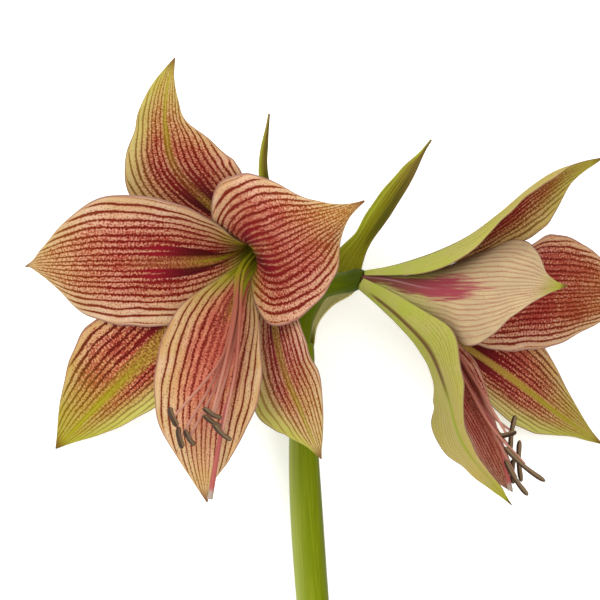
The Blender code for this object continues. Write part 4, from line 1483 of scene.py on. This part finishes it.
def anther_finish(settings):
    """Anther: olive brown pollen face with darker sides and a dark groove."""
    p = Paint("anther_skin", roughness=0.8, gloss=0.2)
    turn, _ = p.axes("round")
    pollen = p.noise(p.uv("grain"), 22.0, detail=3.0, roughness=0.7)
    groove = p.math("ABSOLUTE", p.math("SUBTRACT", p.math("FRACT", p.times(turn, 2.0)), 0.5))
    p.painted = settings.anther
    p.lay(POLLEN, p.step(0.35, 0.7, pollen))
    p.lay(settings.anther_side, p.step(0.08, 0.26, groove), 0.9)
    p.bump(pollen, 0.7, 0.15 * MM)
    return p.finish()


class AMARYLLIS_OT_stamens(bpy.types.Operator):
    """Make the throat collars, filaments, anthers and styles"""
    bl_idname = "amaryllis.stamens"
    bl_label = "Stamens and styles"

    COLLAR_SIDES = 36
    # Points of the collar closer than this are one, in millimetres
    COLLAR_WELD = 1e-5
    FILAMENT_STEPS = 48
    FILAMENT_SIDES = 14
    # A filament starts this far up the collar and runs straight to here
    FILAMENT_ROOT = 1.0
    FILAMENT_STRAIGHT = 12.0
    STYLE_STEPS = 90
    STYLE_SIDES = 18
    ANTHER_STEPS = 26
    ANTHER_SIDES = 28
    # An anther's bow as a share of its length, how blunt its ends are and its least radius
    BOW = 0.045
    BLUNTNESS = 6
    LEAST_RADIUS = 0.12
    # Pinch along the anther's face and its back, as (depth, breadth), and how flat its section is
    FACE_PINCH = (0.42, 0.42)
    BACK_PINCH = (0.2, 0.2)
    FLATNESS = 0.14

    def execute(self, context):
        settings = context.scene.amaryllis_stamens
        shades = (settings.filament_base, settings.filament, settings.filament_tip)
        filament_skin = thread_finish("filament_skin", shades, ((0.36, 0.56), (0.7, 1.0)))
        anther_skin = anther_finish(settings)
        shades = (settings.filament_base, settings.style, settings.stigma)
        style_skin = thread_finish("style_skin", shades, ((0.33, 0.52), (0.965, 0.985)))
        for which, stamens in STAMENS.items():
            bloom = Bloom(which)
            node = f"{which}_stamens"
            filaments = [self.collar(node, bloom)]
            anthers = []
            for degrees, way, ends in stamens:
                low, high = np.asarray(ends, float)
                filaments.append(self.filament(node, bloom, degrees, way, (low + high) / 2.0))
                anthers.append(self.anther(node, bloom, low, high))
            mesh = merge_meshes(f"{which}_filaments", filaments)
            add_piece(mesh, node, [filament_skin], FINE_CREASE)
            mesh = merge_meshes(f"{which}_anthers", anthers)
            add_piece(mesh, node, [anther_skin])
            self.style(f"{which}_style", bloom, STYLES[which], style_skin)
        return {"FINISHED"}

    def collar(self, node, bloom):
        """The short collar in the throat, a ring spun from its wall's outline."""
        inner, outer = RING_RADII
        low, high = RING_SPAN
        shape = bmesh.new()
        corners = ((inner, 0, low), (outer, 0, low), (outer, 0, high), (inner, 0, high))
        outline = [shape.verts.new(corner) for corner in corners]
        edges = [shape.edges.new((outline[k], outline[(k + 1) % 4])) for k in range(4)]
        bmesh.ops.spin(
            shape, geom=outline + edges, cent=(0, 0, 0), axis=(0, 0, 1), dvec=(0, 0, 0),
            angle=2.0 * math.pi, steps=self.COLLAR_SIDES, use_merge=True,
        )
        bmesh.ops.remove_doubles(shape, verts=shape.verts[:], dist=self.COLLAR_WELD)
        bmesh.ops.recalc_face_normals(shape, faces=shape.faces[:])
        for vertex in shape.verts:
            vertex.co = laid([bloom.point(vertex.co.z, vertex.co.x, vertex.co.y)])[0]
        mesh = write_mesh(shape, bpy.data.meshes.new(f"{node}_collar"))
        nothing = np.zeros(len(mesh.vertices))
        for name in ("round", "grain"):
            set_uv(mesh, name, nothing, nothing)
        return mesh

    def filament(self, node, bloom, degrees, way, end):
        """One filament from the collar to the middle of its anther."""
        angle = math.radians(degrees)
        side = FILAMENT_ROOT_RADIUS * math.cos(angle)
        up = FILAMENT_ROOT_RADIUS * math.sin(angle)
        root = [(along, side, up) for along in (RING_SPAN[0] + self.FILAMENT_ROOT, self.FILAMENT_STRAIGHT)]
        line = smooth_line([bloom.point(*p) for p in (*root, *way, end)], self.FILAMENT_STEPS + 1)
        radii = spread(FILAMENT_RADII, self.FILAMENT_STEPS + 1)
        return tube(f"{node}_filament", line, radii, self.FILAMENT_SIDES)

    def anther(self, node, bloom, low, high):
        """Two-lobed anther: a bowed tube whose section is pinched along its face and its back."""
        share = np.linspace(0.0, 1.0, self.ANTHER_STEPS + 1)
        spine = np.array([bloom.point(*(low + (high - low) * s)) for s in share])
        whole = spine[-1] - spine[0]
        bow = unit(np.cross(unit(whole), ODD_WAY))
        spine += (self.BOW * np.linalg.norm(whole) * np.sin(np.pi * share))[:, None] * bow
        girth = ANTHER_RADIUS * np.sqrt(np.clip(1.0 - (2.0 * share - 1.0) ** self.BLUNTNESS, 0.0, 1.0))
        girth = np.maximum(girth * (0.9 + 0.1 * np.cos(2.0 * np.pi * share)), self.LEAST_RADIUS)

        def lobes(angle, row):
            face = self.FACE_PINCH[0] * np.exp(-(((angle - np.pi) / self.FACE_PINCH[1]) ** 2))
            back = self.BACK_PINCH[0] * np.exp(-((np.sin(angle / 2.0) / self.BACK_PINCH[1]) ** 2))
            return (1.0 - self.FLATNESS * np.cos(2.0 * angle)) * (1.0 - face - back)

        return tube(f"{node}_anther", spine, girth, self.ANTHER_SIDES, lobes)

    def style(self, node, bloom, way, skin):
        """The style along its way, ending in the wider stigma."""
        points = [bloom.point(*p) for p in ((STYLE_START, 0.0, 0.0), *way)]
        line = smooth_line(points, self.STYLE_STEPS + 1)
        mesh = tube(f"{node}_skin", line, spread(STYLE_RADII, self.STYLE_STEPS + 1), self.STYLE_SIDES)
        piece = add_piece(mesh, node, [skin], FINE_CREASE)
        check_place(piece, node)


class AMARYLLIS_OT_stage(bpy.types.Operator):
    """Make the pale floor, the soft lights and the photograph's camera"""
    bl_idname = "amaryllis.stage"
    bl_label = "Stage"

    # In metres: the floor's side, and how near and how far the camera sees
    FLOOR_SIZE = 12.0
    NEAREST = 0.05
    FURTHEST = 50.0

    def execute(self, context):
        settings = context.scene.amaryllis_stage
        self.floor(settings)
        for name, (place, size) in LIGHTS.items():
            self.light(f"{name}_light", getattr(settings, name), place, size)
        world = bpy.data.worlds.new("studio")
        context.scene.world = world
        world.use_nodes = True
        sky = world.node_tree.nodes["Background"]
        sky.inputs["Color"].default_value = WHITE
        sky.inputs["Strength"].default_value = settings.sky
        context.scene.view_settings.view_transform = "Standard"
        self.camera(context)
        return {"FINISHED"}

    def floor(self, settings):
        """Pale floor that glows a little."""
        shape = bmesh.new()
        bmesh.ops.create_grid(shape, x_segments=1, y_segments=1, size=self.FLOOR_SIZE / 2.0)
        mesh = write_mesh(shape, bpy.data.meshes.new("floor"))
        paper = Paint("floor_paper", roughness=0.9)
        paper.shader.inputs["Emission Color"].default_value = WHITE
        paper.shader.inputs["Emission Strength"].default_value = settings.glow
        paper.painted = settings.floor
        mesh.materials.append(paper.finish())
        linked("floor", mesh)

    def light(self, name, power, place, size):
        """A soft square light at a place in the upright plant's frame, aimed at the blooms."""
        lamp = bpy.data.lights.new(name, "AREA")
        lamp.energy = power
        lamp.size = size
        made = linked(name, lamp)
        made.location = PLANT @ (Vector(place) * MM)
        aim = PLANT @ (Vector((*VIEW_CENTRE, 0.0)) * MM)
        made.rotation_mode = "QUATERNION"
        made.rotation_quaternion = (aim - made.location).to_track_quat("-Z", "Y")

    def camera(self, context):
        """The photograph's camera, looking square at the upright plant."""
        data = bpy.data.cameras.new("view")
        data.sensor_width = SENSOR
        data.lens = SENSOR * VIEW_DISTANCE / VIEW_WIDTH
        data.clip_start = self.NEAREST
        data.clip_end = self.FURTHEST
        camera = linked("view", data)
        camera.matrix_world = PLANT @ Matrix.Translation(Vector((*VIEW_CENTRE, VIEW_DISTANCE)) * MM)
        context.scene.camera = camera


class AMARYLLIS_PT_panel(bpy.types.Panel):
    """The stem's settings and steps"""
    bl_idname = "AMARYLLIS_PT_panel"
    bl_label = "Amaryllis stem"
    bl_space_type = "VIEW_3D"
    bl_region_type = "UI"
    bl_category = "Amaryllis"

    def draw(self, context):
        for group, name in GROUPS.items():
            box = self.layout.box()
            box.label(text=group.__doc__)
            for prop in group.__annotations__:
                box.prop(getattr(context.scene, name), prop)
        for step in STEPS:
            self.layout.operator(step.bl_idname)


GROUPS = {
    AmaryllisTepals: "amaryllis_tepals",
    AmaryllisGreens: "amaryllis_greens",
    AmaryllisStamens: "amaryllis_stamens",
    AmaryllisStage: "amaryllis_stage",
}
STEPS = (
    AMARYLLIS_OT_tepals,
    AMARYLLIS_OT_stalk,
    AMARYLLIS_OT_pedicels,
    AMARYLLIS_OT_spathe,
    AMARYLLIS_OT_stamens,
    AMARYLLIS_OT_stage,
)
CLASSES = (*GROUPS, *STEPS, AMARYLLIS_PT_panel)


def register():
    for cls in CLASSES:
        bpy.utils.register_class(cls)
    for group, name in GROUPS.items():
        setattr(bpy.types.Scene, name, PointerProperty(type=group))


def unregister():
    for name in GROUPS.values():
        delattr(bpy.types.Scene, name)
    for cls in reversed(CLASSES):
        bpy.utils.unregister_class(cls)


def main():
    register()
    bpy.ops.amaryllis.tepals()
    bpy.ops.amaryllis.stalk()
    bpy.ops.amaryllis.pedicels()
    bpy.ops.amaryllis.spathe()
    bpy.ops.amaryllis.stamens()
    bpy.ops.amaryllis.stage()


if __name__ == "__main__":
    main()
